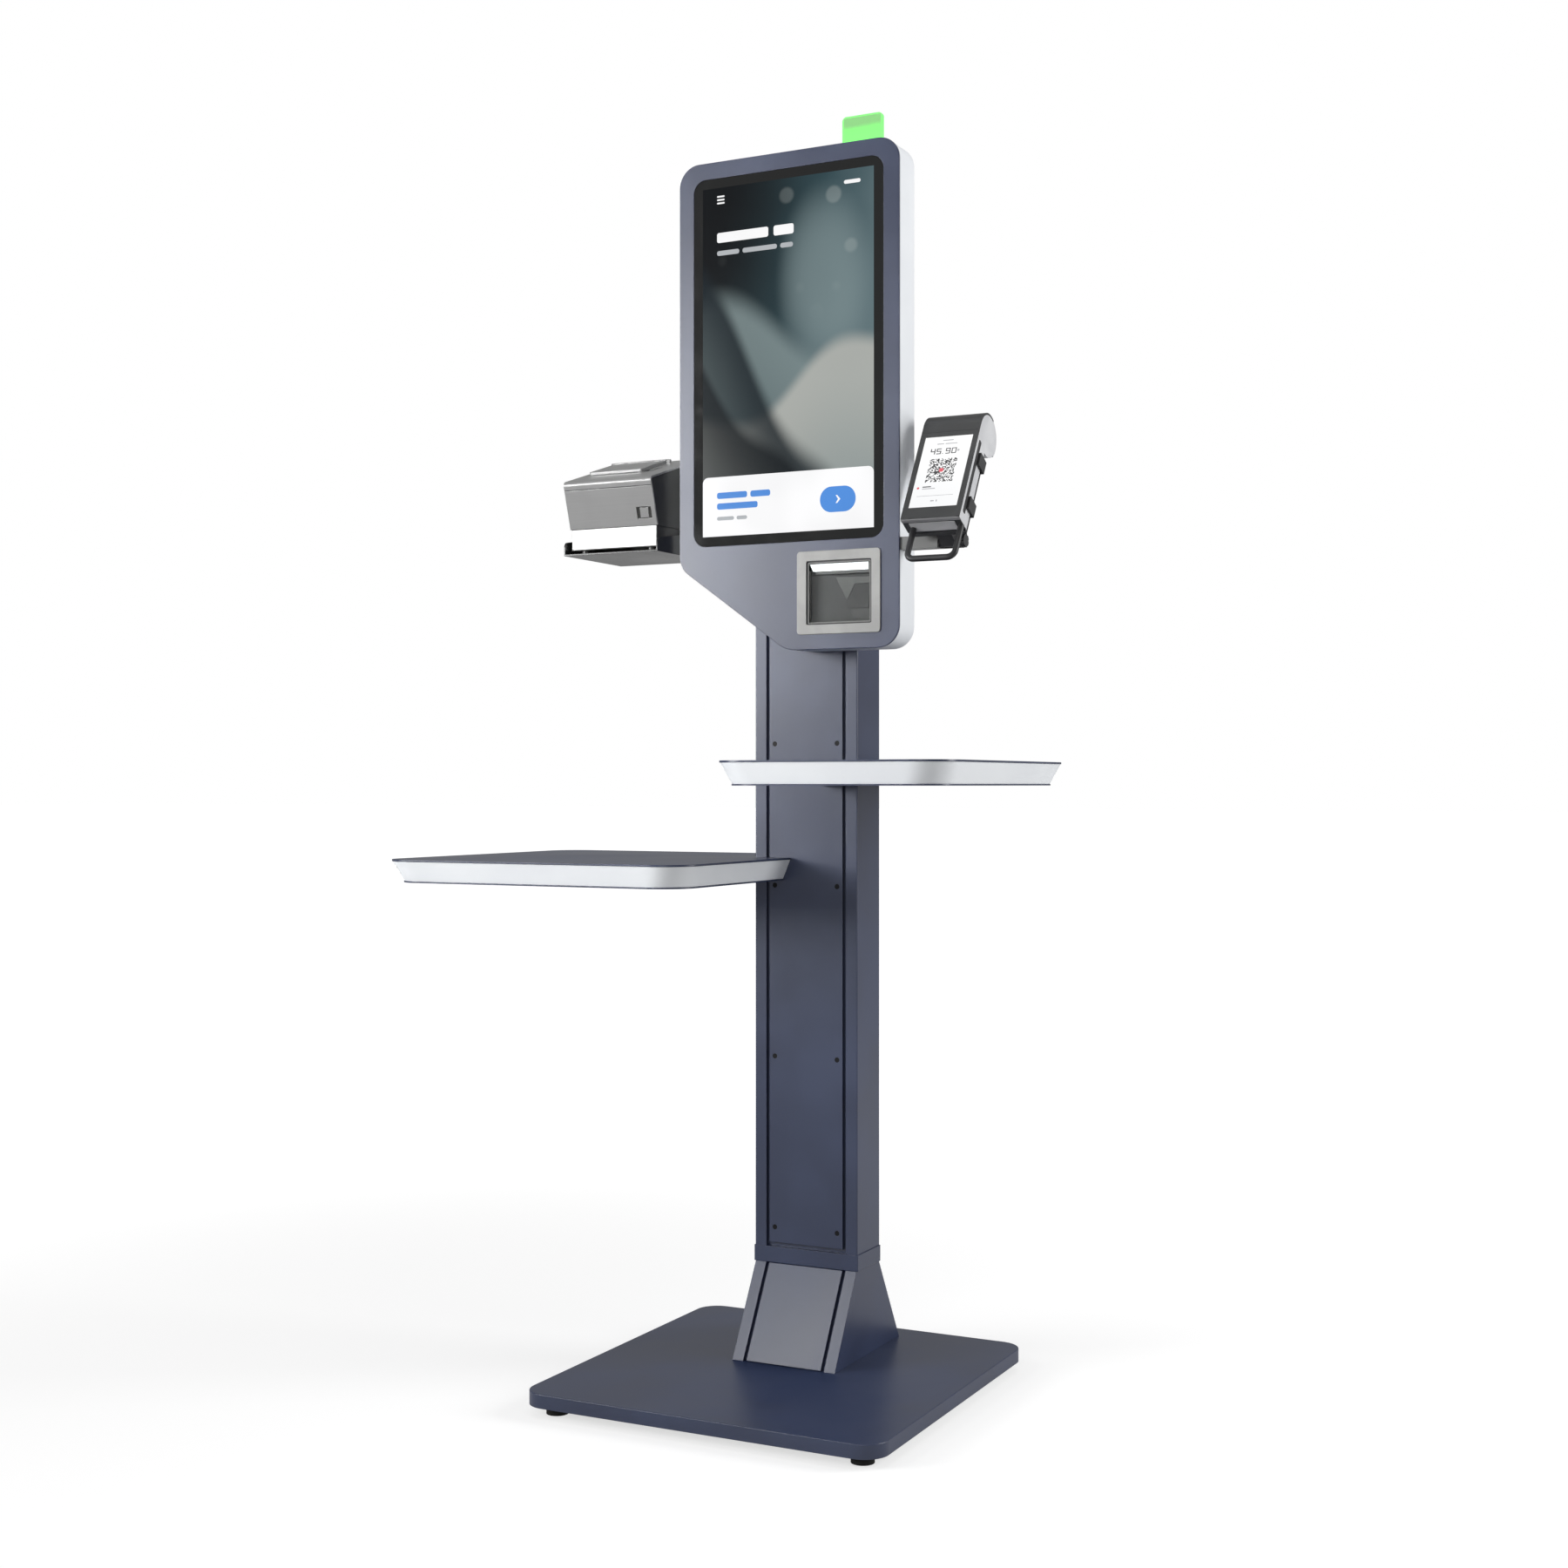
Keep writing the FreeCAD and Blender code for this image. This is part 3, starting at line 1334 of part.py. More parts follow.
def terminal_loop():
    """Round steel handle below the terminal."""
    pts = [V(loop_x0, 0, loop_out), V(loop_x0, loop_low, loop_out),
           V(loop_x1, loop_low, loop_out), V(loop_x1, 0, loop_out)]
    b = loop_bend
    k = b * (1 - math.sqrt(0.5))
    left = Part.Arc(V(loop_x0, loop_low + b, loop_out), V(loop_x0 + k, loop_low + k, loop_out),
                    V(loop_x0 + b, loop_low, loop_out)).toShape()
    right = Part.Arc(V(loop_x1 - b, loop_low, loop_out), V(loop_x1 - k, loop_low + k, loop_out),
                     V(loop_x1, loop_low + b, loop_out)).toShape()
    path = Part.Wire([Part.makeLine(pts[0], V(loop_x0, loop_low + b, loop_out)), left,
                      Part.makeLine(V(loop_x0 + b, loop_low, loop_out), V(loop_x1 - b, loop_low, loop_out)),
                      right, Part.makeLine(V(loop_x1, loop_low + b, loop_out), pts[3])])
    ring = Part.Wire([Part.Circle(pts[0], V(0, -1, 0), loop_r).toShape()])
    return lean_back(path.makePipeShell([ring], True, True))


def terminal_arm():
    """Sheet metal channel from the head's side, ending in a fork for the pivot bolt."""
    x0 = head_half_w - shell_shy
    s = arm_sheet
    y1 = arm_y0 + arm_d
    body = box(x0, arm_x1, arm_y0, y1, arm_z0, arm_z1)
    body = body.cut(box(x0 + s, arm_x1 - s, arm_y0 + s, y1, arm_z0 + s, arm_z1 - s))
    for x in (arm_x1, fork_x1 - fork_t):
        lug = pivot_rod(fork_r, x, x + fork_t)
        body = body.fuse(lug.cut(pivot_rod(pivot_r + run_fit, x, x + fork_t)))
    bridge = box(arm_x1, fork_x1, y1 - s, y1, arm_z0, arm_z1)
    for x in (arm_x1, fork_x1 - fork_t):
        web = box(x, x + fork_t, pivot_y, y1, arm_z0, arm_z1)
        body = body.fuse(web.cut(pivot_rod(pivot_r + run_fit, x, x + fork_t)))
    return body.fuse(bridge).cut(pivot_rod(fork_r + play, arm_x1 + fork_t, fork_x1 - fork_t))


def tilt_knob():
    body = pivot_rod(knob_r, fork_x1 + play, fork_x1 + play + knob_t)
    reach = knob_r + flute_out
    for i in range(knob_flutes):
        a = 2 * math.pi * i / knob_flutes
        y, z = pivot_y + reach * math.cos(a), pivot_z + reach * math.sin(a)
        body = body.cut(rod(flute_r, (fork_x1, y, z), (fork_x1 + knob_t + 1, y, z)))
    return body.fuse(pivot_rod(pivot_r, arm_x1 + play, fork_x1 + 2))


# ---------------------------------------------------------------- all nodes

os.makedirs("parts", exist_ok=True)
save("base_plate", base_plate())
save("base_ballast", base_ballast())
for foot_name, spot in zip(foot_names, foot_spots):
    save(foot_name, foot(*spot))
save("base_fasteners", base_fasteners())
save("plinth_shell", plinth_shell())
save("plinth_cover", plinth_cover())
save("column_tube", column_tube())
save("column_collar", column_collar())
save("lower_front_panel", front_panel(panel_bottom, panel_split, screw_heights))
save("upper_front_panel", upper_panel())
save("m4_screws", m4_screws())
save("m6_bolts", m6_bolts())
save("column_back_cover", column_back_cover())
save("column_cap", column_cap())
save("power_inlet", power_inlet())
for side, label in (("low", "lower_shelf"), ("up", "upper_shelf")):
    top = shelf_sides[side][1]
    save(label + "_top", shelf_plate(side, top - shelf_top_t, shelf_top_t, 0))
    save(label + "_rim", shelf_rim(side, top))
    save(label + "_underside", shelf_plate(side, top - shelf_h, shelf_bottom_t, shelf_inset))
    save(label + "_frame", shelf_arms(side, top))
save("head_face", head_face())
save("head_shell", shell_with_hinges())
save("head_mount_plate", head_mount_plate())
save("display_glass", display_glass())
save("display_panel", display_panel())
save("control_computer", control_computer())
save("power_supply", power_supply())
save("loudspeaker", loudspeaker())
save("service_door", service_door())
save("service_door_lock", cam_lock())
save("status_light_blade", status_light_blade())
save("status_light_holder", status_light_holder())
save("scanner_bezel", scanner_bezel())
save("scanner_window", scanner_window())
save("scanner_chamber", scanner_chamber())
save("scanner_light_bar", scanner_light_bar())
save("scanner_camera", scanner_camera())
save("printer_tray", printer_tray())
save("printer_base", printer_base())
save("printer_case", printer_case())
save("printer_skin", printer_skin())
save("printer_lid", printer_lid())
save("printer_latch", printer_latch())
save("paper_roll", paper_roll())
save("platen_roller", platen_roller())
save("terminal_face", terminal_face())
save("terminal_screen", terminal_screen())
save("terminal_back", terminal_back())
save("terminal_key", terminal_key())
save("terminal_lid", terminal_lid())
save("terminal_cradle", terminal_cradle())
save("terminal_loop", terminal_loop())
save("terminal_arm", terminal_arm())
save("tilt_knob", tilt_knob())
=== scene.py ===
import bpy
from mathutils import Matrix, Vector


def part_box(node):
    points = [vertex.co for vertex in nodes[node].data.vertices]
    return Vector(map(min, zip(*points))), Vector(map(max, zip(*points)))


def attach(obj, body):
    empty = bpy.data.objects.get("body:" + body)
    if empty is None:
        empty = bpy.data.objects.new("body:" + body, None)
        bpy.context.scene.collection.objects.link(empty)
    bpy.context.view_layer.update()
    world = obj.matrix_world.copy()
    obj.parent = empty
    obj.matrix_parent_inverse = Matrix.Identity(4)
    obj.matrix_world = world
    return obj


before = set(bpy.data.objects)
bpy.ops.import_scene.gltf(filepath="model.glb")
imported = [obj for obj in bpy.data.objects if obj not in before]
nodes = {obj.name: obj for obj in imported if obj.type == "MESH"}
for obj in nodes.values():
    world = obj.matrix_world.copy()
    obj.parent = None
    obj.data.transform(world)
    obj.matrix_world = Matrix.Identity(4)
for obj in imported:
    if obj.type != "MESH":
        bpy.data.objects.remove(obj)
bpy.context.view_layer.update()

import math
import bmesh
import bpy
import numpy as np

scene = bpy.context.scene
scene.view_settings.view_transform = "Standard"
print("frame loaded:", len(nodes), "parts")


# ---- small helpers for shader trees; a colour is three screen values, 0 to 255

def toLinear(red, green, blue, alpha=1.0):
    # screen value to linear light: ((v/255 + 0.055) / 1.055) to the power 2.4
    shades = (np.array([red, green, blue]) / 255 + 0.055) / 1.055
    return (*(float(value) for value in shades ** 2.4), alpha)


def feed(tree, socket, value):
    # a socket is linked; a plain value is written, and three screen values become a colour
    if isinstance(value, bpy.types.NodeSocket):
        tree.links.new(value, socket)
    elif socket.type == "RGBA" and len(value) == 3:
        socket.default_value = toLinear(*value)
    else:
        socket.default_value = value


def addNode(tree, kind, inputs=None, **settings):
    node = tree.nodes.new("ShaderNode" + kind)
    for key, value in settings.items():
        setattr(node, key, value)
    for key, value in (inputs or {}).items():
        feed(tree, node.inputs[key], value)
    return node


def calc(tree, operation, *values, clamp=False):
    return addNode(tree, "Math", dict(enumerate(values)), operation=operation, use_clamp=clamp).outputs[0]


def remap(tree, value, low, high, newLow=0.0, newHigh=1.0, smooth=True):
    kind = "SMOOTHSTEP" if smooth else "LINEAR"
    inputs = {"Value": value, "From Min": low, "From Max": high, "To Min": newLow, "To Max": newHigh}
    return addNode(tree, "MapRange", inputs, interpolation_type=kind).outputs[0]


def mixColour(tree, factor, first, second):
    node = addNode(tree, "Mix", data_type="RGBA")
    for socket, value in zip((node.inputs[0], node.inputs[6], node.inputs[7]), (factor, first, second)):
        feed(tree, socket, value)
    return node.outputs[2]


def objectPlace(tree):
    return addNode(tree, "TexCoord").outputs["Object"]


def noise(tree, where, scale, detail, **more):
    inputs = {"Vector": where, "Scale": scale, "Detail": detail, **more}
    return addNode(tree, "TexNoise", inputs).outputs["Fac"]


def newGroup(name, inputs, outputs):
    group = bpy.data.node_groups.new(name, "ShaderNodeTree")
    for label, kind, value in inputs:
        socket = group.interface.new_socket(label, in_out="INPUT", socket_type="NodeSocket" + kind)
        socket.default_value = value
    for label, kind in outputs:
        group.interface.new_socket(label, in_out="OUTPUT", socket_type="NodeSocket" + kind)
    return group, group.nodes.new("NodeGroupInput").outputs, group.nodes.new("NodeGroupOutput").inputs


def placeGroup(tree, group, **values):
    node = tree.nodes.new("ShaderNodeGroup")
    node.node_tree = group
    for key, value in values.items():
        feed(tree, node.inputs[key], value)
    return node.outputs


def startMaterial(name, **sockets):
    # sockets of one Principled shader; numbers that are the same all over sit on them
    material = bpy.data.materials.new(name)
    material.use_nodes = True
    tree = material.node_tree
    shader = tree.nodes["Principled BSDF"].inputs
    for key, value in sockets.items():
        feed(tree, shader[key.replace("_", " ")], value)
    return material, tree, shader


def axesOf(tree, where):
    return addNode(tree, "SeparateXYZ", {0: where}).outputs


def times(tree, first, second):
    return calc(tree, "MULTIPLY", first, second)


# ---- effects that several finishes share

noiseSpan = (0.3, 0.7)  # most values of a noise lie between these two


def buildPowderSkin():
    # powder coat: fine rounded grains and a slow change of tone
    group, given, out = newGroup("powderSkin", [("Grain", "Float", 900.0), ("Patch", "Float", 9.0)],
                                 [("Height", "Float"), ("Tone", "Float")])
    where = objectPlace(group)
    feed(group, out["Height"], noise(group, where, given["Grain"], 1.0, Roughness=0.45))
    feed(group, out["Tone"], noise(group, where, given["Patch"], 3.0, Roughness=0.55))
    return group


def buildEdgeWearAndSheen(turned=(0.995, 0.90), patches=(0.42, 0.62)):
    # edge mask: how far a rounded normal turns away from the flat one, broken up by noise; it pales the edges as
    # real wear, and on bare metal it paints a highlight along rounded edges
    group, given, out = newGroup("edgeWearAndSheen", [("Radius", "Float", 0.0012), ("Breakup", "Float", 60.0)],
                                 [("Mask", "Float"), ("Normal", "Vector")])
    rounded = addNode(group, "Bevel", {"Radius": given["Radius"]}, samples=4).outputs[0]
    flat = addNode(group, "NewGeometry").outputs["Normal"]
    turn = addNode(group, "VectorMath", {0: rounded, 1: flat}, operation="DOT_PRODUCT").outputs["Value"]
    patchy = remap(group, noise(group, objectPlace(group), given["Breakup"], 4.0), *patches)
    feed(group, out["Mask"], times(group, remap(group, turn, *turned), patchy))
    feed(group, out["Normal"], rounded)
    return group


def buildDust(upright=(0.6, 1.0), clouds=(0.4, 0.7)):
    # settled dust: only where the face looks up, thicker in the clouds of a noise
    group, given, out = newGroup("settledDust", [("Amount", "Float", 0.3), ("Cloud", "Float", 7.0)],
                                 [("Mask", "Float")])
    up = axesOf(group, addNode(group, "NewGeometry").outputs["Normal"])[2]
    cloud = noise(group, objectPlace(group), given["Cloud"], 6.0, Roughness=0.6)
    thick = times(group, remap(group, up, *upright), remap(group, cloud, *clouds))
    feed(group, out["Mask"], times(group, thick, given["Amount"]))
    return group


def buildBrushedGrain(slowScale=18.0, share=0.5):
    # brushed metal: noise drawn out along one axis by a small scale there and a large one across
    group, given, out = newGroup("brushedGrain", [("Stretch", "Vector", (4.0, 900.0, 900.0))],
                                 [("Height", "Float"), ("Tone", "Float")])
    where = objectPlace(group)
    drawn = addNode(group, "VectorMath", {0: where, 1: given["Stretch"]}, operation="MULTIPLY")
    lines = noise(group, drawn.outputs[0], 1.0, 3.0, Roughness=0.7)
    slow = noise(group, where, slowScale, 2.0)
    feed(group, out["Height"], lines)
    feed(group, out["Tone"], calc(group, "MULTIPLY_ADD", slow, share, times(group, lines, share)))
    return group


def buildFineTexture(smearScale=24.0):
    # moulded plastic: shallow pebbles from cell distance, and soft smears that change the gloss
    group, given, out = newGroup("mouldedSkin", [("Pebble", "Float", 1400.0)],
                                 [("Height", "Float"), ("Smear", "Float")])
    where = objectPlace(group)
    cells = addNode(group, "TexVoronoi", {"Vector": where, "Scale": given["Pebble"]}, feature="SMOOTH_F1")
    feed(group, out["Height"], cells.outputs["Distance"])
    feed(group, out["Smear"], noise(group, where, smearScale, 5.0, Distortion=0.6))
    return group


powderSkin = buildPowderSkin()
edgeWearAndSheen = buildEdgeWearAndSheen()
settledDust = buildDust()
brushedGrain = buildBrushedGrain()
mouldedSkin = buildFineTexture()
print("shared effects built")


# ---- finishes

def roughen(tree, shader, height, strength, distance, **normal):
    bump = addNode(tree, "Bump", {"Strength": strength, "Distance": distance, "Height": height, **normal})
    feed(tree, shader["Normal"], bump.outputs[0])


dustLook = {"tone": (150, 150, 148), "rougher": 0.4}


def wornFinish(name, look, group, sizes, drift, smear, lower, higher, depth, span=(0.35, 0.65), **sockets):
    # what the solid finishes share: the colour drifts between two tones with one output of the
    # skin and rubs towards a third at the edges, which is wear and, on bare metal, a painted highlight; the gloss
    # follows another output
    material, tree, shader = startMaterial(name, **sockets)
    skin = placeGroup(tree, group, **{size: look[size.lower()] for size in sizes})
    edge = placeGroup(tree, edgeWearAndSheen, Radius=look["edge"])
    colour = mixColour(tree, remap(tree, skin[drift], *span), look["dark"], look["light"])
    colour = mixColour(tree, times(tree, edge["Mask"], look["rubAndSheen"]), colour, look["worn"])
    rough = remap(tree, skin[smear], *noiseSpan, look["gloss"] - lower, look["gloss"] + higher)
    if "dust" in look:
        dust = placeGroup(tree, settledDust, Amount=look["dust"])["Mask"]
        colour = mixColour(tree, dust, colour, dustLook["tone"])
        rough = calc(tree, "MULTIPLY_ADD", dust, dustLook["rougher"], rough)
    feed(tree, shader["Base Color"], colour)
    feed(tree, shader["Roughness"], rough)
    roughen(tree, shader, skin["Height"], look["bump"], depth, Normal=edge["Normal"])
    return material


def coatedSteel(name, look):
    # powder coated sheet: slow drift of tone, edges rub paler, dust lies on flats
    return wornFinish(name, look, powderSkin, ("Grain", "Patch"), "Tone", "Tone", 0.02, 0.03, 0.0002,
                      Specular_IOR_Level=look["shine"])


def mouldedPlastic(name, look, **changes):
    # moulded shell: one colour with slight smears in its gloss and fine pebbles in its skin
    look = {**look, **changes}
    return wornFinish(name, look, mouldedSkin, ("Pebble",), "Smear", "Smear", 0.05, 0.07, 0.00015,
                      Specular_IOR_Level=look["shine"])


def bareMetal(name, look):
    # metal drawn along one axis: fine lines in height and in gloss, edges a little brighter as a painted highlight
    return wornFinish(name, look, brushedGrain, ("Stretch",), "Tone", "Height", look["streak"], look["streak"],
                      0.0001, Metallic=look["metal"])


# ---- what each finish looks like

navyLook = {"dark": (34, 44, 72), "light": (42, 53, 83), "worn": (92, 98, 116), "gloss": 0.33,
            "shine": 0.78, "grain": 1100.0, "patch": 6.0, "edge": 0.0010, "rubAndSheen": 0.35, "dust": 0.03,
            "bump": 0.10}
whiteLook = {"dark": (236, 239, 243), "light": (243, 246, 249), "worn": (246, 247, 248), "gloss": 0.42,
             "shine": 0.5, "grain": 1100.0, "patch": 5.0, "edge": 0.0010, "rubAndSheen": 0.3, "dust": 0.03,
             "bump": 0.03}
trayLook = {"dark": (32, 33, 33), "light": (38, 39, 39), "worn": (120, 122, 124), "gloss": 0.24,
            "shine": 0.43, "grain": 1300.0, "patch": 8.0, "edge": 0.0008, "rubAndSheen": 0.5, "dust": 0.04,
            "bump": 0.12}
# the grey metal's pale edge tone paints the highlight along the printer's rounded nose
greyLook = {"dark": (144, 144, 144), "light": (149, 149, 149), "worn": (235, 235, 235), "gloss": 0.31,
            "metal": 0.35, "stretch": (6.0, 1100.0, 1100.0), "streak": 0.02, "edge": 0.0014, "rubAndSheen": 0.7,
            "bump": 0.02}
steelLook = {"dark": (150, 152, 156), "light": (172, 174, 178), "worn": (215, 216, 218), "gloss": 0.34,
             "metal": 0.9, "stretch": (12.0, 12.0, 900.0), "streak": 0.07, "edge": 0.0005, "rubAndSheen": 0.5,
             "bump": 0.2}
zincLook = {"dark": (160, 162, 160), "light": (178, 180, 176), "worn": (215, 214, 208), "gloss": 0.42,
            "metal": 0.85, "stretch": (160.0, 160.0, 160.0), "streak": 0.07, "edge": 0.0004, "rubAndSheen": 0.5,
            "bump": 0.12}
blackLook = {"dark": (28, 28, 30), "light": (38, 38, 40), "worn": (92, 92, 94), "gloss": 0.46,
             "shine": 0.45, "pebble": 1500.0, "edge": 0.0007, "rubAndSheen": 0.35, "bump": 0.25}
charcoalLook = {"dark": (46, 47, 48), "light": (55, 56, 57), "worn": (120, 121, 122), "gloss": 0.36,
                "shine": 0.5, "pebble": 1700.0, "edge": 0.0007, "rubAndSheen": 0.35, "bump": 0.15}
pearlLook = {"dark": (204, 205, 208), "light": (216, 217, 219), "worn": (240, 240, 240), "gloss": 0.34,
             "shine": 0.5, "pebble": 1900.0, "edge": 0.0007, "rubAndSheen": 0.2, "bump": 0.10}
bezelLook = {"dark": (150, 150, 148), "light": (160, 160, 158), "worn": (205, 205, 203), "gloss": 0.38,
             "shine": 0.5, "pebble": 1700.0, "edge": 0.0006, "rubAndSheen": 0.5, "bump": 0.12}
rubberLook = {"dark": (20, 20, 20), "light": (30, 30, 29), "worn": (60, 60, 58), "gloss": 0.72,
              "shine": 0.3, "pebble": 900.0, "edge": 0.0006, "rubAndSheen": 0.3, "bump": 0.35}

navyCoat = coatedSteel("navyCoat", navyLook)
whiteCoat = coatedSteel("whiteCoat", whiteLook)
greyMetal = bareMetal("greyMetal", greyLook)
blackPlastic = mouldedPlastic("blackPlastic", blackLook)
charcoalPlastic = mouldedPlastic("charcoalPlastic", charcoalLook)


def tintedGlass(name, look, wipes=(0.35, 0.75), smear=0.10):
    # dark sheet under a clear coat; wipe marks change its gloss very slightly
    material, tree, shader = startMaterial(name, Base_Color=look["tint"], Coat_Weight=1.0, Coat_Roughness=0.03,
                                           Specular_IOR_Level=0.2)
    wipe = noise(tree, objectPlace(tree), 14.0, 5.0, Distortion=1.2)
    feed(tree, shader["Roughness"], remap(tree, wipe, *wipes, look["gloss"], look["gloss"] + smear))
    return material


def clearWindow(look, wipes=(0.4, 0.8)):
    # clear pane; faint wipe marks in its gloss
    material, tree, shader = startMaterial("scannerPane", Base_Color=look["colour"], Transmission_Weight=1.0,
                                           IOR=1.45)
    wipe = noise(tree, objectPlace(tree), 22.0, 5.0, Distortion=1.0)
    feed(tree, shader["Roughness"], remap(tree, wipe, *wipes, 0.0, look["gloss"]))
    return material


def paperFinish(look):
    # thin thermal paper: soft fibres, and faint rings where the layers of the roll end, which
    # ripple as sin(turns * distance from the roll's axis)
    material, tree, shader = startMaterial("thermalPaper", Roughness=0.75, Specular_IOR_Level=0.3)
    where = objectPlace(tree)
    low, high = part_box("paper_roll")
    axis = (low + high) / 2
    flat = addNode(tree, "Mapping", {"Vector": where, "Location": (0.0, -axis.y, -axis.z), "Scale": (0.0, 1.0, 1.0)})
    radius = addNode(tree, "VectorMath", {0: flat.outputs[0]}, operation="LENGTH").outputs["Value"]
    rings = calc(tree, "SINE", times(tree, radius, look["turns"]))
    shade = calc(tree, "MULTIPLY_ADD", rings, look["rings"], noise(tree, where, 700.0, 4.0))
    colour = mixColour(tree, remap(tree, shade, *noiseSpan), look["dark"], look["light"])
    feed(tree, shader["Base Color"], colour)
    roughen(tree, shader, shade, 0.25, 0.0001)
    return material


def lit(tree, shader, glow):
    feed(tree, shader["Base Color"], glow)
    feed(tree, shader["Emission Color"], glow)


def beaconFinish(look):
    # lit acrylic: the light fades with height, and the rim glows by its distance to the outline
    low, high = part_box("status_light_blade")
    material, tree, shader = startMaterial("beaconAcrylic", Roughness=0.22, Emission_Strength=look["strength"])
    where = objectPlace(tree)
    axes = axesOf(tree, where)
    middle, half = (low.x + high.x) / 2, (high.x - low.x) / 2
    side = calc(tree, "SUBTRACT", half, calc(tree, "ABSOLUTE", calc(tree, "SUBTRACT", axes[0], middle)))
    above = calc(tree, "SUBTRACT", high.z, axes[2])
    rim = remap(tree, calc(tree, "MINIMUM", side, above), *look["rimWide"])
    height = remap(tree, axes[2], high.z - look["fade"][0], high.z - look["fade"][1])
    drift = calc(tree, "MULTIPLY_ADD", noise(tree, where, 38.0, 2.0), look["drift"], -look["drift"] / 2)
    upper = calc(tree, "ADD", height, drift, clamp=True)
    lit(tree, shader, mixColour(tree, rim, mixColour(tree, upper, look["bright"], look["dim"]), look["rim"]))
    return material


def lampFinish(look):
    # lit lens: the row of small sources behind it ripples as sin(turns * x)
    material, tree, shader = startMaterial("lampLens", Roughness=0.35, Emission_Strength=look["strength"])
    across = axesOf(tree, objectPlace(tree))[0]
    wave = calc(tree, "SINE", times(tree, across, look["turns"]))
    lit(tree, shader, mixColour(tree, remap(tree, wave, -1.0, 1.0), look["dim"], look["bright"]))
    return material


def armFinish(look):
    # painted sheet arm: grey up to its fork, black beyond, with the plain coat's grain on both
    material, tree, shader = startMaterial("armPaint", Roughness=look["gloss"], Specular_IOR_Level=0.5)
    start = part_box("terminal_arm")[1].x - look["fork"]
    across = axesOf(tree, objectPlace(tree))[0]
    skin = placeGroup(tree, powderSkin, Grain=look["grain"], Patch=look["patch"])
    grey = mixColour(tree, skin["Tone"], look["dark"], look["light"])
    fork = remap(tree, across, start, start + look["blur"])
    feed(tree, shader["Base Color"], mixColour(tree, fork, grey, look["black"]))
    roughen(tree, shader, skin["Height"], 0.1, 0.0002)
    return material


lampLens = lampFinish({"strength": 1.1, "turns": 900.0, "dim": (238, 241, 244), "bright": (255, 255, 255)})
finishOf = {
    navyCoat: "base_plate plinth_shell plinth_cover column_tube column_collar lower_front_panel "
              "upper_front_panel column_back_cover column_cap lower_shelf_top lower_shelf_underside "
              "lower_shelf_frame upper_shelf_top upper_shelf_underside upper_shelf_frame head_face",
    whiteCoat: "lower_shelf_rim upper_shelf_rim head_shell service_door",
    coatedSteel("trayCoat", trayLook): "printer_tray",
    greyMetal: "printer_skin printer_lid printer_latch",
    armFinish({"gloss": 0.4, "fork": 0.0300, "blur": 0.0005, "grain": 1100.0, "patch": 20.0,
               "dark": (92, 93, 92), "light": (108, 109, 108), "black": (28, 28, 30)}): "terminal_arm",
    bareMetal("brushedSteel", steelLook): "control_computer display_panel head_mount_plate service_door_lock",
    bareMetal("zincPlate", zincLook): "base_ballast base_fasteners m6_bolts power_supply",
    mouldedPlastic("blackScrews", blackLook, dark=(6, 6, 9), light=(10, 10, 13), worn=(40, 40, 42), shine=0.2):
        "m4_screws",
    blackPlastic: "power_inlet status_light_holder scanner_chamber loudspeaker terminal_cradle "
                  "terminal_loop terminal_key tilt_knob",
    charcoalPlastic: "terminal_face scanner_camera",
    mouldedPlastic("casePlastic", charcoalLook, dark=(36, 36, 35), light=(43, 43, 41), shine=0.36):
        "printer_case printer_base",
    mouldedPlastic("lampHousing", charcoalLook, dark=(92, 92, 90), light=(102, 102, 100)): "scanner_light_bar",
    mouldedPlastic("pearlPlastic", pearlLook): "terminal_back terminal_lid",
    mouldedPlastic("bezelPlastic", bezelLook): "scanner_bezel",
    mouldedPlastic("footRubber", rubberLook): "foot_front_left foot_back_left foot_front_right "
                                              "foot_back_right platen_roller",
    tintedGlass("darkGlass", {"tint": (15, 16, 16), "gloss": 0.06}): "display_glass",
    tintedGlass("smokedWindow", {"tint": (40, 40, 40), "gloss": 0.08}): "terminal_screen",
    clearWindow({"colour": (0.9, 0.92, 0.92, 1.0), "gloss": 0.06}): "scanner_window",
    paperFinish({"turns": 9000.0, "rings": 0.12, "dark": (222, 220, 214), "light": (240, 239, 235)}): "paper_roll",
    beaconFinish({"strength": 0.75, "fade": (0.024, 0.010), "rimWide": (0.0026, 0.0012), "drift": 0.5,
                  "bright": (110, 222, 104), "dim": (110, 164, 102), "rim": (112, 228, 108)}):
        "status_light_blade",
}
for finish, names in finishOf.items():
    for name in names.split():
        mesh = nodes[name].data
        mesh.materials.clear()
        mesh.materials.append(finish)
print("finishes placed")


# ---- shapes worked out on whole arrays

def addObject(name, data):
    added = bpy.data.objects.new(name, data)
    scene.collection.objects.link(added)
    return added


def makePiece(name, shape, material, body="kiosk_body"):
    # mesh from points and faces; the object stays at the origin and every face is turned outward
    points, faces = shape
    mesh = bpy.data.meshes.new(name)
    mesh.from_pydata(np.asarray(points, float).tolist(), [], faces)
    work = bmesh.new()
    work.from_mesh(mesh)
    bmesh.ops.recalc_face_normals(work, faces=work.faces)
    work.to_mesh(mesh)
    work.free()
    mesh.materials.append(material)
    piece = addObject(name, mesh)
    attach(piece, body)


def joinShapes(shapes):
    # one list of points and faces; the corner numbers of each shape start after those before it
    points, faces, start = [], [], 0
    for shapePoints, shapeFaces in shapes:
        points.append(shapePoints)
        faces += [[start + corner for corner in face] for face in shapeFaces]
        start += len(shapePoints)
    return np.concatenate(points), faces


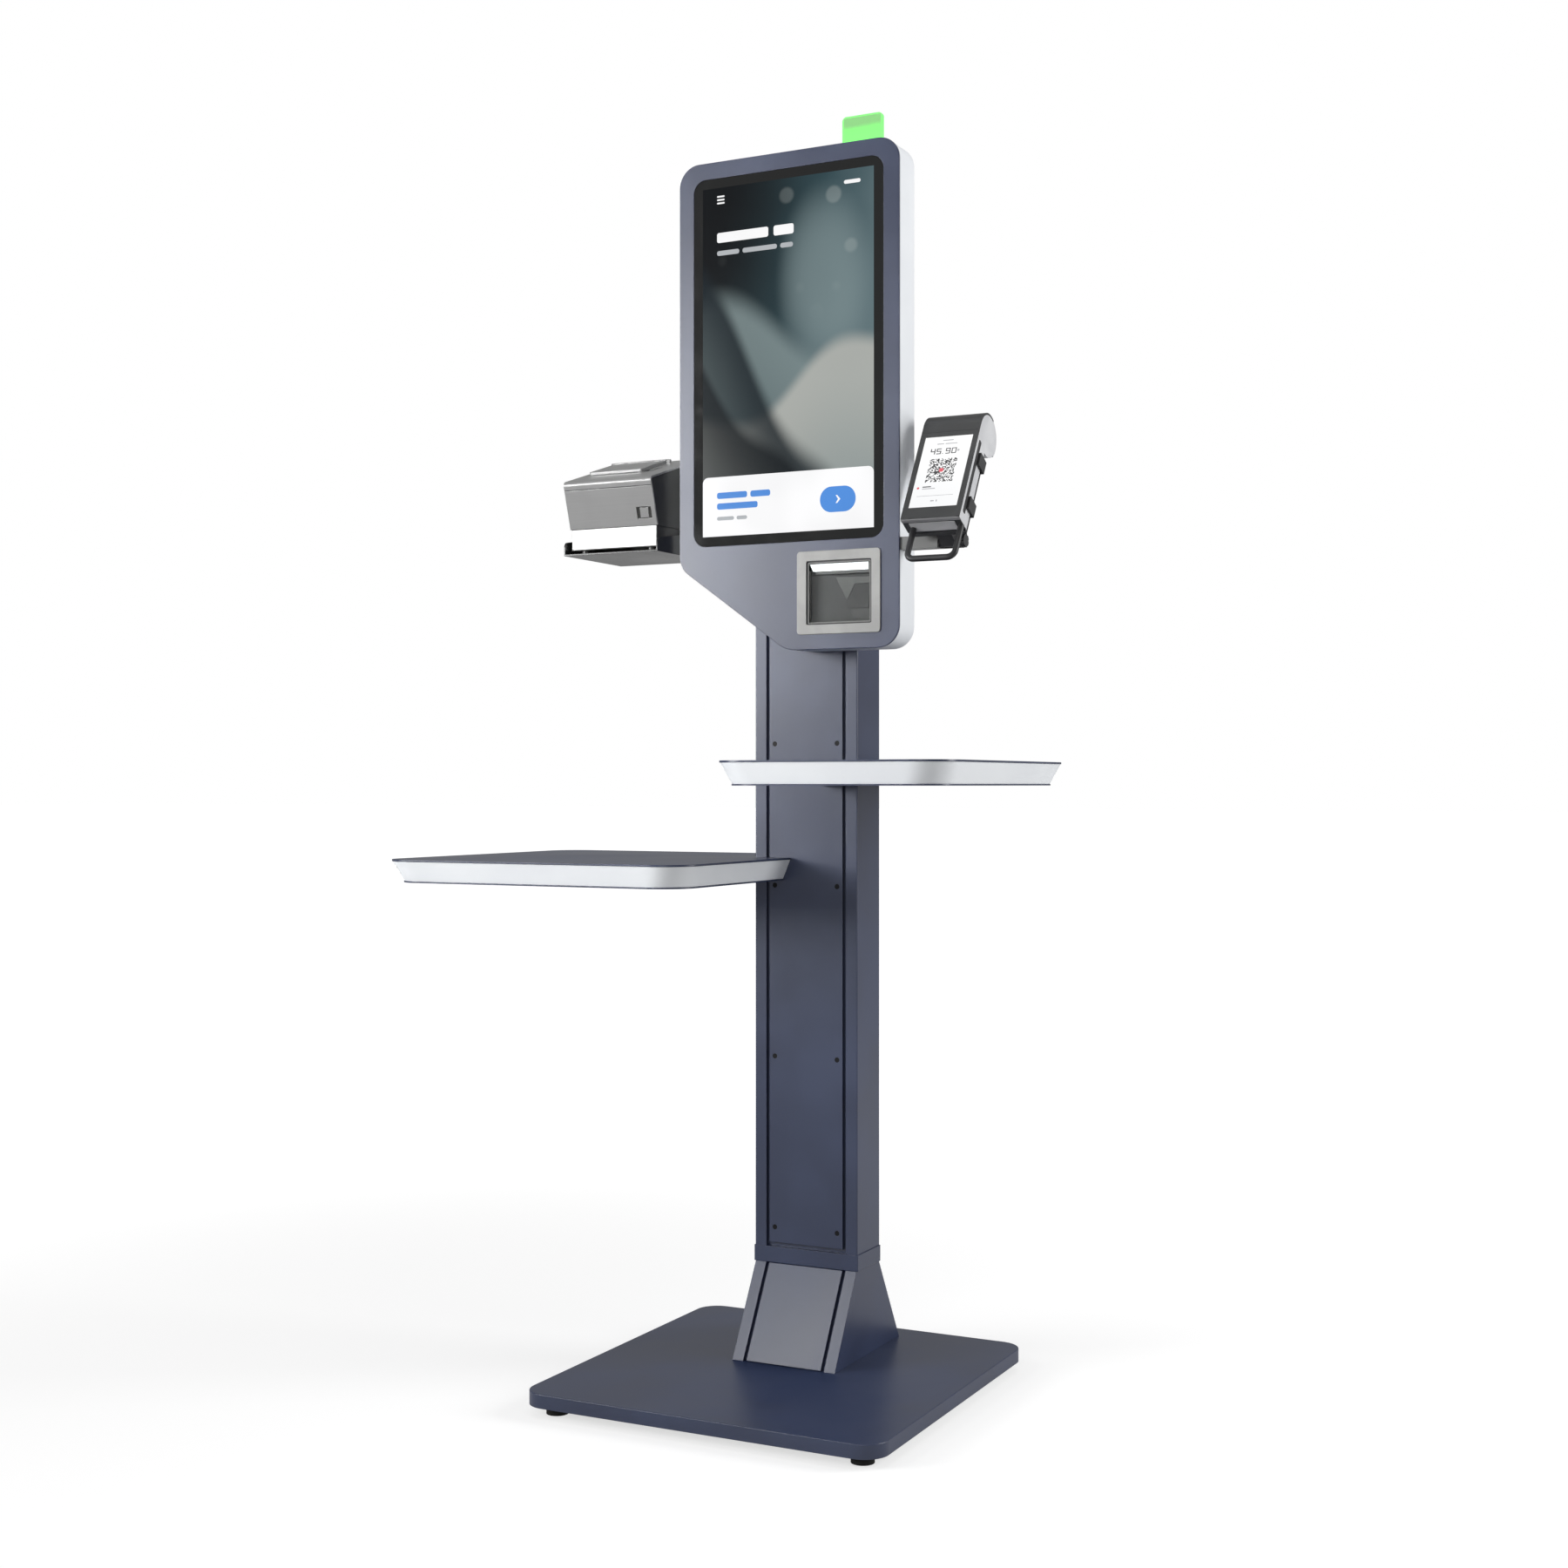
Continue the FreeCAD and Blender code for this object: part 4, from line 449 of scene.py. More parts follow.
def ringFaces(rings, count, closed=False):
    # quads between neighbouring rings of the same count; an open row of rings has a flat face on
    # each end, a closed one runs from its last ring back to its first
    i, j = np.meshgrid(np.arange(rings if closed else rings - 1), np.arange(count), indexing="ij")
    after, nextRing = (j + 1) % count, (i + 1) % rings
    quads = np.stack([i * count + j, i * count + after, nextRing * count + after, nextRing * count + j], -1)
    ends = [] if closed else [list(range(count))[::-1], list(range((rings - 1) * count, rings * count))]
    return quads.reshape(-1, 4).tolist() + ends


def ringShape(rings, place, closed=False):
    # each ring is an outline and its depth
    points = [place(ring[:, 0], ring[:, 1], np.full(len(ring), depth)) for ring, depth in rings]
    return np.concatenate(points), ringFaces(len(rings), len(rings[0][0]), closed)


def roundedBox(u0, u1, v0, v1, radius, steps=7):
    # four quarter circles, centre + radius * (cos a, sin a), joined by straight runs
    turn = np.linspace(0, math.pi / 2, steps)
    angles = np.concatenate([turn + k * math.pi / 2 for k in range(4)])
    centreU = np.repeat([u1 - radius, u0 + radius, u0 + radius, u1 - radius], steps)
    centreV = np.repeat([v1 - radius, v1 - radius, v0 + radius, v0 + radius], steps)
    return np.stack([centreU + radius * np.cos(angles), centreV + radius * np.sin(angles)], -1)


def inset(outline, distance):
    # each corner moves in along the sum of its two edge normals, over one plus their dot product
    def normals(edges):
        return np.stack([-edges[:, 1], edges[:, 0]], -1) / np.linalg.norm(edges, axis=1, keepdims=True)
    first, second = normals(outline - np.roll(outline, 1, 0)), normals(np.roll(outline, -1, 0) - outline)
    return outline + distance * (first + second) / (1 + (first * second).sum(1, keepdims=True))


def plate(outline, place, thick, bevel=0.0, base=0.0):
    # rings of one outline: the back, the front edge, and a front drawn in by the bevel
    outline = np.asarray(outline, float)
    rings = [(outline, base), (outline, base + thick - bevel)]
    if bevel:
        rings.append((inset(outline, bevel), base + thick))
    return ringShape(rings, place)


def roundedPlate(box, radius, place, thick, bevel=0.0, base=0.0, steps=7):
    # box: left, right, low and high limit on the plane
    return plate(roundedBox(*box, radius, steps), place, thick, bevel, base)


def boxPlate(left, right, low, high, place, thick, **more):
    return plate([(left, low), (right, low), (right, high), (left, high)], place, thick, **more)


def onFront(level):
    # plane that faces the customer at y = level; thickness grows towards the customer
    return lambda u, v, depth: np.stack([u, level - depth, v], -1)


def onBack(level):
    return lambda u, v, depth: np.stack([u, level + depth, v], -1)


# ---- picture and controls on the big screen

def displayPicture(look, low, high):
    # lit picture: a slow change from dark to misty teal, crossed by soft waves of paler and
    # darker tone; each wave's crest is height + rise * u + swing * sin(turns * u + start);
    # a haze fades with the squared distance from its middle
    material, tree, shader = startMaterial("displayPicture", Base_Color=(0.004, 0.004, 0.004, 1.0),
                                           Emission_Strength=look["strength"],
                                           Specular_IOR_Level=look["shine"], Roughness=0.14)
    where = objectPlace(tree)
    axes = axesOf(tree, where)
    u = remap(tree, axes[0], low[0], high[0], smooth=False)
    v = remap(tree, axes[2], low[1], high[1], smooth=False)
    lean = calc(tree, "SUBTRACT", u, times(tree, v, look["lean"]))
    slide = calc(tree, "MULTIPLY_ADD", noise(tree, where, 5.0, 3.0), look["cloud"], lean)
    colour = mixColour(tree, remap(tree, slide, *look["toTeal"]), look["deep"], look["teal"])
    colour = mixColour(tree, remap(tree, slide, *look["toMist"]), colour, look["mist"])
    glowU, glowV = (calc(tree, "SUBTRACT", axis, middle) for axis, middle in zip((u, v), look["glow"]))
    away = calc(tree, "MULTIPLY_ADD", glowU, glowU, times(tree, glowV, glowV))
    colour = mixColour(tree, remap(tree, away, look["reach"], 0.0, 0.0, look["glowShare"]), colour, look["haze"])
    for tone, height, rise, swing, turns, start, soft, share in look["waves"]:
        bend = times(tree, calc(tree, "SINE", calc(tree, "MULTIPLY_ADD", u, turns, start)), swing)
        crest = calc(tree, "ADD", calc(tree, "MULTIPLY_ADD", u, rise, height), bend)
        below = calc(tree, "SUBTRACT", crest, v)
        mask = times(tree, remap(tree, below, -soft, soft), share)
        fade = remap(tree, below, *look["fade"])
        colour = mixColour(tree, times(tree, mask, fade), colour, tone)
    lights = addNode(tree, "TexVoronoi", {"Vector": where, "Scale": look["spots"]}).outputs["Distance"]
    spot = times(tree, remap(tree, lights, *look["spotSize"]), remap(tree, v, *look["spotUp"]))
    colour = mixColour(tree, times(tree, spot, u), colour, look["spot"])
    feed(tree, shader["Emission Color"], colour)
    return material


def litInk(name, colour, paler=0.93):
    # flat mark shown by the screen: its tone drifts slightly between the colour and a duller one
    material, tree, shader = startMaterial(name, Base_Color=(0.01, 0.01, 0.01, 1.0), Coat_Weight=0.4,
                                           Coat_Roughness=0.05, Roughness=0.12, Emission_Strength=1.0)
    full = toLinear(*colour)
    dull = tuple(paler * part for part in full[:3]) + (1.0,)
    drift = remap(tree, noise(tree, objectPlace(tree), 12.0, 1.0), *noiseSpan)
    feed(tree, shader["Emission Color"], mixColour(tree, drift, dull, full))
    return material


# waves: tone, height, rise, swing, turns, start, softness and share of each
screenLook = {"side": 0.0137, "below": 0.0132, "above": 0.0131, "lift": 0.00008, "thick": 0.00012,
              "strength": 0.95, "shine": 0.12, "deep": (10, 14, 18), "teal": (50, 74, 81),
              "mist": (98, 118, 123), "haze": (140, 158, 160), "glow": (0.72, 0.70), "reach": 0.09,
              "glowShare": 0.55, "spot": (200, 208, 205), "spots": 16.0, "lean": 0.45, "cloud": 0.35,
              "toTeal": (-0.15, 0.66), "toMist": (0.45, 0.95), "fade": (0.0, 0.5, 1.0, 0.45),
              "spotSize": (0.22, 0.14), "spotUp": (0.55, 0.9, 0.0, 0.22),
              "waves": [((132, 148, 149), 0.66, -0.20, 0.05, 6.0, 0.4, 0.05, 0.75),
                        ((178, 180, 175), 0.30, 0.22, 0.05, 7.0, 2.4, 0.03, 0.90),
                        ((22, 33, 40), 0.72, -0.80, 0.05, 8.0, 1.0, 0.05, 0.94),
                        ((12, 20, 26), 0.48, -0.62, 0.04, 9.0, 3.0, 0.03, 0.88)]}
glassLow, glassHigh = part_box("display_glass")
litLow = (glassLow.x + screenLook["side"], glassLow.z + screenLook["below"])
litHigh = (glassHigh.x - screenLook["side"], glassHigh.z - screenLook["above"])
litFront = onFront(glassLow.y - screenLook["lift"])
layer = screenLook["thick"]
makePiece("display_picture", boxPlate(litLow[0], litHigh[0], litLow[1], litHigh[1], litFront, layer),
          displayPicture(screenLook, litLow, litHigh))

cardLook = {"high": 0.0805, "radius": 0.008, "steps": 7}
turn = np.linspace(0, math.pi / 2, cardLook["steps"])
reach = cardLook["radius"]
cornerTop = litLow[1] + cardLook["high"] - reach
rightCorner = np.stack([litHigh[0] - reach + reach * np.cos(turn), cornerTop + reach * np.sin(turn)], -1)
leftCorner = np.stack([litLow[0] + reach - reach * np.sin(turn), cornerTop + reach * np.cos(turn)], -1)
cardOutline = np.concatenate([[litLow, (litHigh[0], litLow[1])], rightCorner, leftCorner])
whiteInk = litInk("whiteInk", (252, 252, 253))
blueInk = litInk("blueInk", (72, 140, 222))
greyInk = litInk("greyInk", (176, 180, 184))


def screenPiece(name, shape, ink):
    makePiece(name, shape, ink)


def barRow(bars, base):
    # rounded bars: left end, middle height, length and thickness of each, from the picture's corner
    shapes = []
    for left, middle, long, tall in bars:
        start, centre = litLow[0] + left, litLow[1] + middle
        shapes.append(roundedPlate((start, start + long, centre - tall / 2, centre + tall / 2),
                                   min(tall * 0.49, 0.003), litFront, layer, base=base))
    return joinShapes(shapes)


screenPiece("screen_card", plate(cardOutline, litFront, layer, base=layer), whiteInk)
barRows = [("heading", whiteInk, layer,
            [(0.022, 0.405, 0.078, 0.0135), (0.108, 0.405, 0.030, 0.0135), (0.022, 0.452, 0.0115, 0.0022),
             (0.022, 0.4565, 0.0115, 0.0022), (0.022, 0.461, 0.0115, 0.0022), (0.212, 0.4565, 0.024, 0.0050)]),
           ("subheading", greyInk, layer,
            [(0.022, 0.384, 0.034, 0.0065), (0.061, 0.384, 0.052, 0.0065), (0.118, 0.384, 0.019, 0.0065)]),
           ("card_lines", blueInk, 2 * layer,
            [(0.022, 0.055, 0.046, 0.0085), (0.073, 0.055, 0.030, 0.0085), (0.022, 0.0405, 0.062, 0.0085)]),
           ("card_note", greyInk, 2 * layer,
            [(0.022, 0.0240, 0.026, 0.0050), (0.052, 0.0240, 0.016, 0.0050)])]
for name, ink, base, bars in barRows:
    screenPiece("screen_" + name, barRow(bars, base), ink)

buttonLook = {"right": 0.026, "middle": 0.040, "wide": 0.052, "tall": 0.034, "mark": 0.0075, "stroke": 0.0022}
right, middle, tall = litHigh[0] - buttonLook["right"], litLow[1] + buttonLook["middle"], buttonLook["tall"]
screenPiece("screen_button", roundedPlate((right - buttonLook["wide"], right, middle - tall / 2, middle + tall / 2),
                                          tall * 0.49, litFront, layer, base=2 * layer, steps=12), blueInk)
band = buttonLook["stroke"] / buttonLook["mark"]
chevron = np.array([(0.5, 0.0), (-0.1, 0.7), (-0.1 - band, 0.7), (0.5 - 1.5 * band, 0.0),
                    (-0.1 - band, -0.7), (-0.1, -0.7)]) * buttonLook["mark"]
screenPiece("screen_chevron", plate(chevron + (right - buttonLook["wide"] / 2, middle), litFront, layer,
                                    base=3 * layer), whiteInk)
print("big screen drawn")


# ---- what the payment terminal shows, and its trim

terminalLook = {"lean": 30.5, "face": 0.0025}
tiltSin, tiltCos = math.sin(math.radians(terminalLook["lean"])), math.cos(math.radians(terminalLook["lean"]))
screenLow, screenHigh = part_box("terminal_screen")
faceLow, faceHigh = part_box("terminal_face")
faceCorner = (faceLow.x, faceLow.y, faceLow.z + terminalLook["face"] * tiltSin)
terminalWide = faceHigh.x - faceLow.x


def onTerminal(u, v, depth):
    # plane of the leaning terminal: u across, v up along its face, depth out of the face
    return np.stack([faceCorner[0] + u, faceCorner[1] + v * tiltSin - depth * tiltCos,
                     faceCorner[2] + v * tiltCos + depth * tiltSin], -1)


def onTerminalEnd(u, v, depth):
    # plane of the terminal's lower end: v runs back from the face, depth out of the end
    return onTerminal(u, -depth, -v)


def onTerminalSide(edge, sign):
    # plane of one long side: u runs up along the side, v back from the face
    return lambda u, v, depth: onTerminal(edge + sign * depth, u, -v)


def terminalPicture(look):
    # white page with a patch of small dark squares: a cell is dark where its own random
    # number passes a limit, and the patch ends at its four sides
    material, tree, shader = startMaterial("terminalPicture", Base_Color=(0.02, 0.02, 0.02, 1.0),
                                           Emission_Strength=look["strength"], Coat_Weight=0.3,
                                           Coat_Roughness=0.06, Roughness=0.15)
    fromCorner = addNode(tree, "VectorMath", {0: objectPlace(tree), 1: faceCorner}, operation="SUBTRACT").outputs[0]
    across = axesOf(tree, fromCorner)[0]
    up = addNode(tree, "VectorMath", {0: fromCorner, 1: (0.0, tiltSin, tiltCos)},
                 operation="DOT_PRODUCT").outputs["Value"]
    cells, away = [], []
    for along, middle in zip((across, up), look["middle"]):
        cells.append(calc(tree, "FLOOR", times(tree, along, 1 / look["cell"])))
        away.append(calc(tree, "ABSOLUTE", calc(tree, "SUBTRACT", along, middle)))
    cell = addNode(tree, "CombineXYZ", {0: cells[0], 1: cells[1]}).outputs[0]
    chance = addNode(tree, "TexWhiteNoise", {"Vector": cell}).outputs["Value"]
    inside = calc(tree, "LESS_THAN", calc(tree, "MAXIMUM", *away), look["half"])
    dark = times(tree, calc(tree, "GREATER_THAN", chance, look["limit"]), inside)
    page = mixColour(tree, remap(tree, up, *look["fade"]), look["low"], look["high"])
    feed(tree, shader["Emission Color"], mixColour(tree, dark, page, look["ink"]))
    return material


def terminalPiece(name, shape, material):
    makePiece(name, shape, material, "terminal_body")


def numerals(text, look):
    # digits from seven bars each; a letter of the text stands for the bars that are lit
    segments = {"0": "abcdef", "4": "fgbc", "5": "afgcd", "9": "abcdfg"}
    tall, wide, half = look["tall"], look["tall"] * look["share"], look["stroke"] / 2
    bars = {"a": (0, tall, wide, 0), "d": (0, 0, wide, 0), "g": (0, tall / 2, wide, 0),
            "f": (0, tall / 2, 0, tall / 2), "e": (0, 0, 0, tall / 2),
            "b": (wide, tall / 2, 0, tall / 2), "c": (wide, 0, 0, tall / 2)}
    shapes, at, foot = [], look["left"], look["middle"] - tall / 2
    for sign in text:
        strokes = [bars[key] for key in segments.get(sign, "")] or [(0, 0, 0, 0)]
        for order, (u, v, along, rise) in enumerate(strokes):
            box = (at + u - half, at + u + along + half, foot + v - half, foot + v + rise + half)
            thick = look["thin"] + look["step"] * order  # so that crossing bars don't share a face
            shapes.append(roundedPlate(box, look["stroke"] * 0.45, onTerminal, thick, base=look["base"], steps=3))
        at += (wide if sign in segments else look["stroke"]) + look["gap"]
    return joinShapes(shapes)


def pageBars(bars):
    # left end, middle height, length and thickness of each
    return joinShapes([roundedPlate((left, left + long, middle - tall / 2, middle + tall / 2), tall * 0.4,
                                    onTerminal, inkLook["thick"], base=inkLook["base"], steps=3)
                       for left, middle, long, tall in bars])


pageLook = {"sides": 0.0002, "up": (0.0170, 0.1305), "thick": 0.00035, "sunk": -0.0003, "cell": 0.00145,
            "middle": (0.0405, 0.0754), "half": 0.0189, "limit": 0.52, "fade": (0.02, 0.13), "strength": 1.0,
            "low": (246, 247, 248), "high": (255, 255, 255), "ink": (52, 52, 54)}
left, right = (edge.x - faceLow.x for edge in (screenLow, screenHigh))
terminalPiece("terminal_page", boxPlate(left + pageLook["sides"], right - pageLook["sides"], *pageLook["up"],
                                        onTerminal, pageLook["thick"], base=pageLook["sunk"]),
              terminalPicture(pageLook))
inkLook = {"dark": (62, 62, 66), "pale": (182, 182, 186), "red": (232, 96, 108), "thick": 0.00005,
           "base": 0.00006, "corner": 0.0012}
darkInk, paleInk, redInk = (litInk(tone + "Ink", inkLook[tone]) for tone in ("dark", "pale", "red"))
numeralLook = {"left": 0.0200, "middle": 0.1065, "tall": 0.0080, "share": 0.66, "stroke": 0.0014, "gap": 0.0030,
               "thin": 0.00004, "step": 0.00001, "base": inkLook["base"]}
paleBars = [(0.0330, 0.1242, 0.0150, 0.0016), (0.0260, 0.1185, 0.0100, 0.0016), (0.0375, 0.1185, 0.0170, 0.0016),
            (0.0560, 0.1065, 0.0035, 0.0035), (0.0200, 0.0462, 0.0180, 0.0013), (0.0150, 0.0345, 0.0500, 0.0006),
            (0.0355, 0.0262, 0.0050, 0.0018), (0.0430, 0.0262, 0.0018, 0.0034)]
redMark = roundedPlate((0.0376, 0.0434, 0.0725, 0.0783), inkLook["corner"], onTerminal, inkLook["thick"],
                       base=inkLook["base"])
terminalPiece("terminal_amount", numerals("45.90", numeralLook), darkInk)
terminalPiece("terminal_notes", pageBars(paleBars), paleInk)
terminalPiece("terminal_label", pageBars([(0.0200, 0.0492, 0.0120, 0.0016)]), darkInk)
terminalPiece("terminal_marks", joinShapes([pageBars([(0.0125, 0.0478, 0.0034, 0.0034)]), redMark]),
              redInk)

# the lower end is dark: a lip under the face, then a broad sunken panel between two cheeks. The lip's pale grey is a
# painted highlight along the face's lower edge, and the panel's own grey is made paler as painted light on the
# shaded end
endLook = {"side": 0.0002, "cheek": 0.0085, "coverUp": (-0.0002, 0.0292), "lipUp": (0.0004, 0.0068),
           "panelUp": (0.0086, 0.0262),
           "cover": {"radius": 0.0015, "thick": 0.0007, "bevel": 0.0003, "base": 0.0003},
           "lip": {"radius": 0.0012, "thick": 0.0010, "bevel": 0.0005, "base": 0.0011},
           "panel": {"radius": 0.0010, "thick": 0.0005, "bevel": 0.0003, "base": 0.0011}}
# lip tone: painted highlight under the face; panel tone: its own grey, made paler as painted light
lipHighlightPlastic = mouldedPlastic("lipHighlightPlastic", charcoalLook, dark=(122, 122, 124), light=(132, 132, 134))
panelPlastic = mouldedPlastic("panelPlastic", charcoalLook, dark=(168, 168, 170), light=(178, 178, 180))
for part, margin, slotName, plastic in (("cover", "side", "black", charcoalPlastic),
                                        ("lip", "side", "black", lipHighlightPlastic),
                                        ("panel", "cheek", "grey", panelPlastic)):
    box = (endLook[margin], terminalWide - endLook[margin], *endLook[part + "Up"])
    terminalPiece("terminal_end_" + part, roundedPlate(box, place=onTerminalEnd, **endLook[part]), plastic)

# a seam across the face above the screen, and on both long sides a dark plate that paints the shade in a groove
seamLook = {"side": 0.0012, "up": (0.1385, 0.1391),
            "shape": {"radius": 0.0003, "thick": 0.00008, "base": -0.00003, "steps": 3}}
seam = (seamLook["side"], terminalWide - seamLook["side"], *seamLook["up"])
terminalPiece("terminal_face_seam", roundedPlate(seam, place=onTerminal, **seamLook["shape"]), blackPlastic)
grooveShadeLook = {"box": (0.013, 0.128, 0.0078, 0.0152), "radius": 0.0020, "thick": 0.0003, "bevel": 0.0001,
             "base": 0.00005, "steps": 5}
grooveShade = [roundedPlate(place=onTerminalSide(edge, sign), **grooveShadeLook)
          for edge, sign in ((0.0, -1.0), (terminalWide, 1.0))]
terminalPiece("terminal_side_groove_shade", joinShapes(grooveShade), blackPlastic)
print("payment terminal dressed")


# ---- inside of the code scanner, and trim of the receipt printer

def hollowPlate(outer, inner, place, thick, base):
    # frame between two outlines of equal count: four rings joined round in a closed loop
    rings = [(outer, base), (outer, base + thick), (inner, base + thick), (inner, base)]
    return ringShape(rings, place, closed=True)


def tonedPlastic(name, shade):
    # the plain charcoal plastic, smoother and in another shade
    dark, light = (tuple(part + change for part in shade) for change in (-4, 4))
    return mouldedPlastic(name, charcoalLook, dark=dark, light=light, gloss=0.42, bump=0.03)


# the window's corner is the middle of its collar; facets are given from it, across and up. The facets are flat
# plates whose tones paint the light and shade on the faceted inside of the well: the high one lit, the right one in
# shade
scannerLook = {"collar": 0.0038, "deep": 0.004, "gap": 0.004, "shift": (0.0040, -0.0009), "base": 0.0002,
               "gasket": (0.0030, 0.00003), "rim": (0.0006, 0.0026),
               "outlines": ((0.0001, 0.002), (0.0017, 0.0015), (0.0033, 0.001)),
               "wall": (0.0004, 0.003, 0.012)}
paneLow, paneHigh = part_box("scanner_window")
cornerX, cornerZ = paneLow.x + scannerLook["collar"], paneLow.z + scannerLook["collar"]
wellFront = onFront(paneHigh.y + scannerLook["deep"] + scannerLook["gap"])
wide, tall = paneHigh.x - paneLow.x - 2 * scannerLook["collar"], paneHigh.z - paneLow.z - 2 * scannerLook["collar"]
facets = [("scanner_back_wall", "wellBack", (40, 40, 39), 0.0010,
           [(-0.010, -0.003), (wide, -0.003), (wide, tall - 0.018), (-0.010, tall - 0.018)]),
          ("scanner_facet_high", "wellFacetLit", (92, 92, 90), 0.0032,
           [(0.0342, 0.0641), (0.0507, 0.0328), (0.0621, 0.0542), (0.0837, 0.0546), (0.0837, 0.0631)]),
          ("scanner_facet_right", "wellShade", (36, 36, 35), 0.0024,
           [(0.0621, 0.0540), (0.0507, 0.0326), (0.0513, 0.0224), (0.0814, 0.0218), (0.0837, 0.0544)]),
          ("scanner_facet_low", "wellShelf", (58, 58, 56), 0.0028,
           [(0.0558, 0.0197), (0.0592, 0.0087), (0.0843, 0.0051), (0.0843, 0.0204)])]
for name, finish, shade, thick, corners in facets:
    outline = np.array(corners) + (cornerX, cornerZ) + scannerLook["shift"]
    makePiece(name, plate(outline, wellFront, thick, scannerLook["base"]), tonedPlastic(finish, shade))

outer, middle, inner = [roundedBox(cornerX + inward, cornerX + wide - inward, cornerZ + inward,
                                   cornerZ + tall - inward, radius)
                        for inward, radius in scannerLook["outlines"]]
paneFront = onFront(paneLow.y)
makePiece("scanner_gasket", hollowPlate(outer, middle, paneFront, *scannerLook["gasket"]), blackPlastic)
makePiece("scanner_inner_rim", hollowPlate(middle, inner, paneFront, *scannerLook["rim"]),
          tonedPlastic("wellRim", (112, 112, 110)))


def onWellSide(u, v, depth):
    # left inner wall of the well: u runs back from the pane, depth points into the well
    return np.stack([cornerX + depth, paneHigh.y + u, v], -1)


# a pale plate on the left inner wall of the well paints light on that shaded wall
thin, beyond, short = scannerLook["wall"]
makePiece("scanner_side_wall",
          boxPlate(thin, scannerLook["deep"] + beyond, cornerZ, cornerZ + tall - short, onWellSide, thin,
                   base=scannerLook["base"]), tonedPlastic("wellSidePaintedLight", (150, 150, 147)))
lensLook = {"behind": 0.0006, "thick": 0.0004, "left": 0.1111, "right": 0.1962, "low": 0.0036, "tall": 0.0098,
            "lean": 0.5}
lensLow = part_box("scanner_light_bar")[0].z + lensLook["low"]
lensHigh = lensLow + lensLook["tall"]
lens = [(lensLook["left"] + lensLook["lean"] * lensLook["tall"], lensLow), (lensLook["right"], lensLow),
        (lensLook["right"], lensHigh), (lensLook["left"], lensHigh)]
makePiece("scanner_lamp_lens", plate(lens, onFront(paneHigh.y + lensLook["behind"] + lensLook["thick"]),
                                     lensLook["thick"]), lampLens)
print("scanner well fitted")

printerLook = {"lean": 17.0, "over": 0.002, "door": 0.066, "lidFront": 0.0520}
skinLow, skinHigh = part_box("printer_skin")
baseLow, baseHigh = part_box("printer_base")
lidLow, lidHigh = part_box("printer_lid")
leanSin, leanCos = math.sin(math.radians(printerLook["lean"])), math.cos(math.radians(printerLook["lean"]))


def onPrinterFace(u, v, depth):
    # leaning front of the printer's cover: v up its slope from the lower edge, depth out of it
    foot = baseLow.y - printerLook["over"]
    return np.stack([u, foot - v * leanSin - depth * leanCos, skinLow.z + v * leanCos - depth * leanSin], -1)


def onPrinterRoof(u, v, depth):
    # sloping roof of the cover: v back from the nose, depth above it
    return onPrinterFace(u, printerLook["door"] + depth, -v)


def onLidFront(u, v, depth):
    # front edge of the raised lid: v up from the roof, depth towards the customer
    return onPrinterRoof(u, printerLook["lidFront"] - depth, v)


fasciaLook = {"side": 0.0006, "foot": 0.0068, "under": 0.0004,
              "shape": {"radius": 0.0012, "thick": 0.0009, "bevel": 0.0004, "base": 0.00005}}
fascia = (baseLow.x + fasciaLook["side"], baseHigh.x - fasciaLook["side"], baseLow.z + fasciaLook["foot"],
          skinLow.z - fasciaLook["under"])
whiteFascia = mouldedPlastic("whiteFascia", pearlLook, dark=(238, 239, 240), light=(246, 247, 247),
                             worn=(250, 250, 250))
makePiece("printer_fascia", roundedPlate(fascia, place=onFront(baseLow.y), **fasciaLook["shape"]),
          whiteFascia)
coverSeam = {"side": 0.0004, "up": (0.0540, 0.0549),
             "shape": {"radius": 0.0002, "thick": 0.00008, "base": -0.00002, "steps": 3}}
seam = (skinLow.x + coverSeam["side"], skinHigh.x - coverSeam["side"], *coverSeam["up"])
makePiece("printer_seam", roundedPlate(seam, place=onPrinterFace, **coverSeam["shape"]), blackPlastic)

# on the roof: a dark plate on either side of the lid that paints the shade in a notch, and a rib; each measured from
# the lid's side
roofLook = {"right": (0.0008, 0.0085), "rightUp": (0.0535, 0.0660), "left": (-0.0060, -0.0008),
            "leftUp": (0.0660, 0.0800), "rib": (0.0105, 0.0130), "ribUp": (0.0540, 0.0850),
            "notch": {"radius": 0.0010, "thick": 0.0004, "bevel": 0.0001, "base": 0.00005, "steps": 4},
            "ridge": {"radius": 0.0010, "thick": 0.0012, "bevel": 0.0004, "base": 0.00005, "steps": 4}}


def onRoof(lidSide, part, shape):
    box = (*(lidSide + away for away in roofLook[part]), *roofLook[part + "Up"])
    return roundedPlate(box, place=onPrinterRoof, **roofLook[shape])


notchShade = joinShapes([onRoof(lidHigh.x, "right", "notch"), onRoof(lidLow.x, "left", "notch")])
makePiece("printer_roof_notch_shade", notchShade, blackPlastic)
makePiece("printer_roof_rib", onRoof(lidHigh.x, "rib", "ridge"), greyMetal)
# a pale metal strip along the lid's front edge paints the highlight on that edge
lidLook = {"side": 0.0022, "up": (0.0007, 0.0042),
           "shape": {"radius": 0.0012, "thick": 0.0006, "bevel": 0.0003, "base": 0.00005, "steps": 4}}
lidEdge = (lidLow.x + lidLook["side"], lidHigh.x - lidLook["side"], *lidLook["up"])
makePiece("printer_lid_edge", roundedPlate(lidEdge, place=onLidFront, **lidLook["shape"]),
          bareMetal("lidEdgeHighlight", dict(greyLook, dark=(196, 196, 196), light=(208, 208, 208))), "printer_lid_body")
print("receipt printer trimmed")


# ---- ventilation on the back, pressed out of the sheet

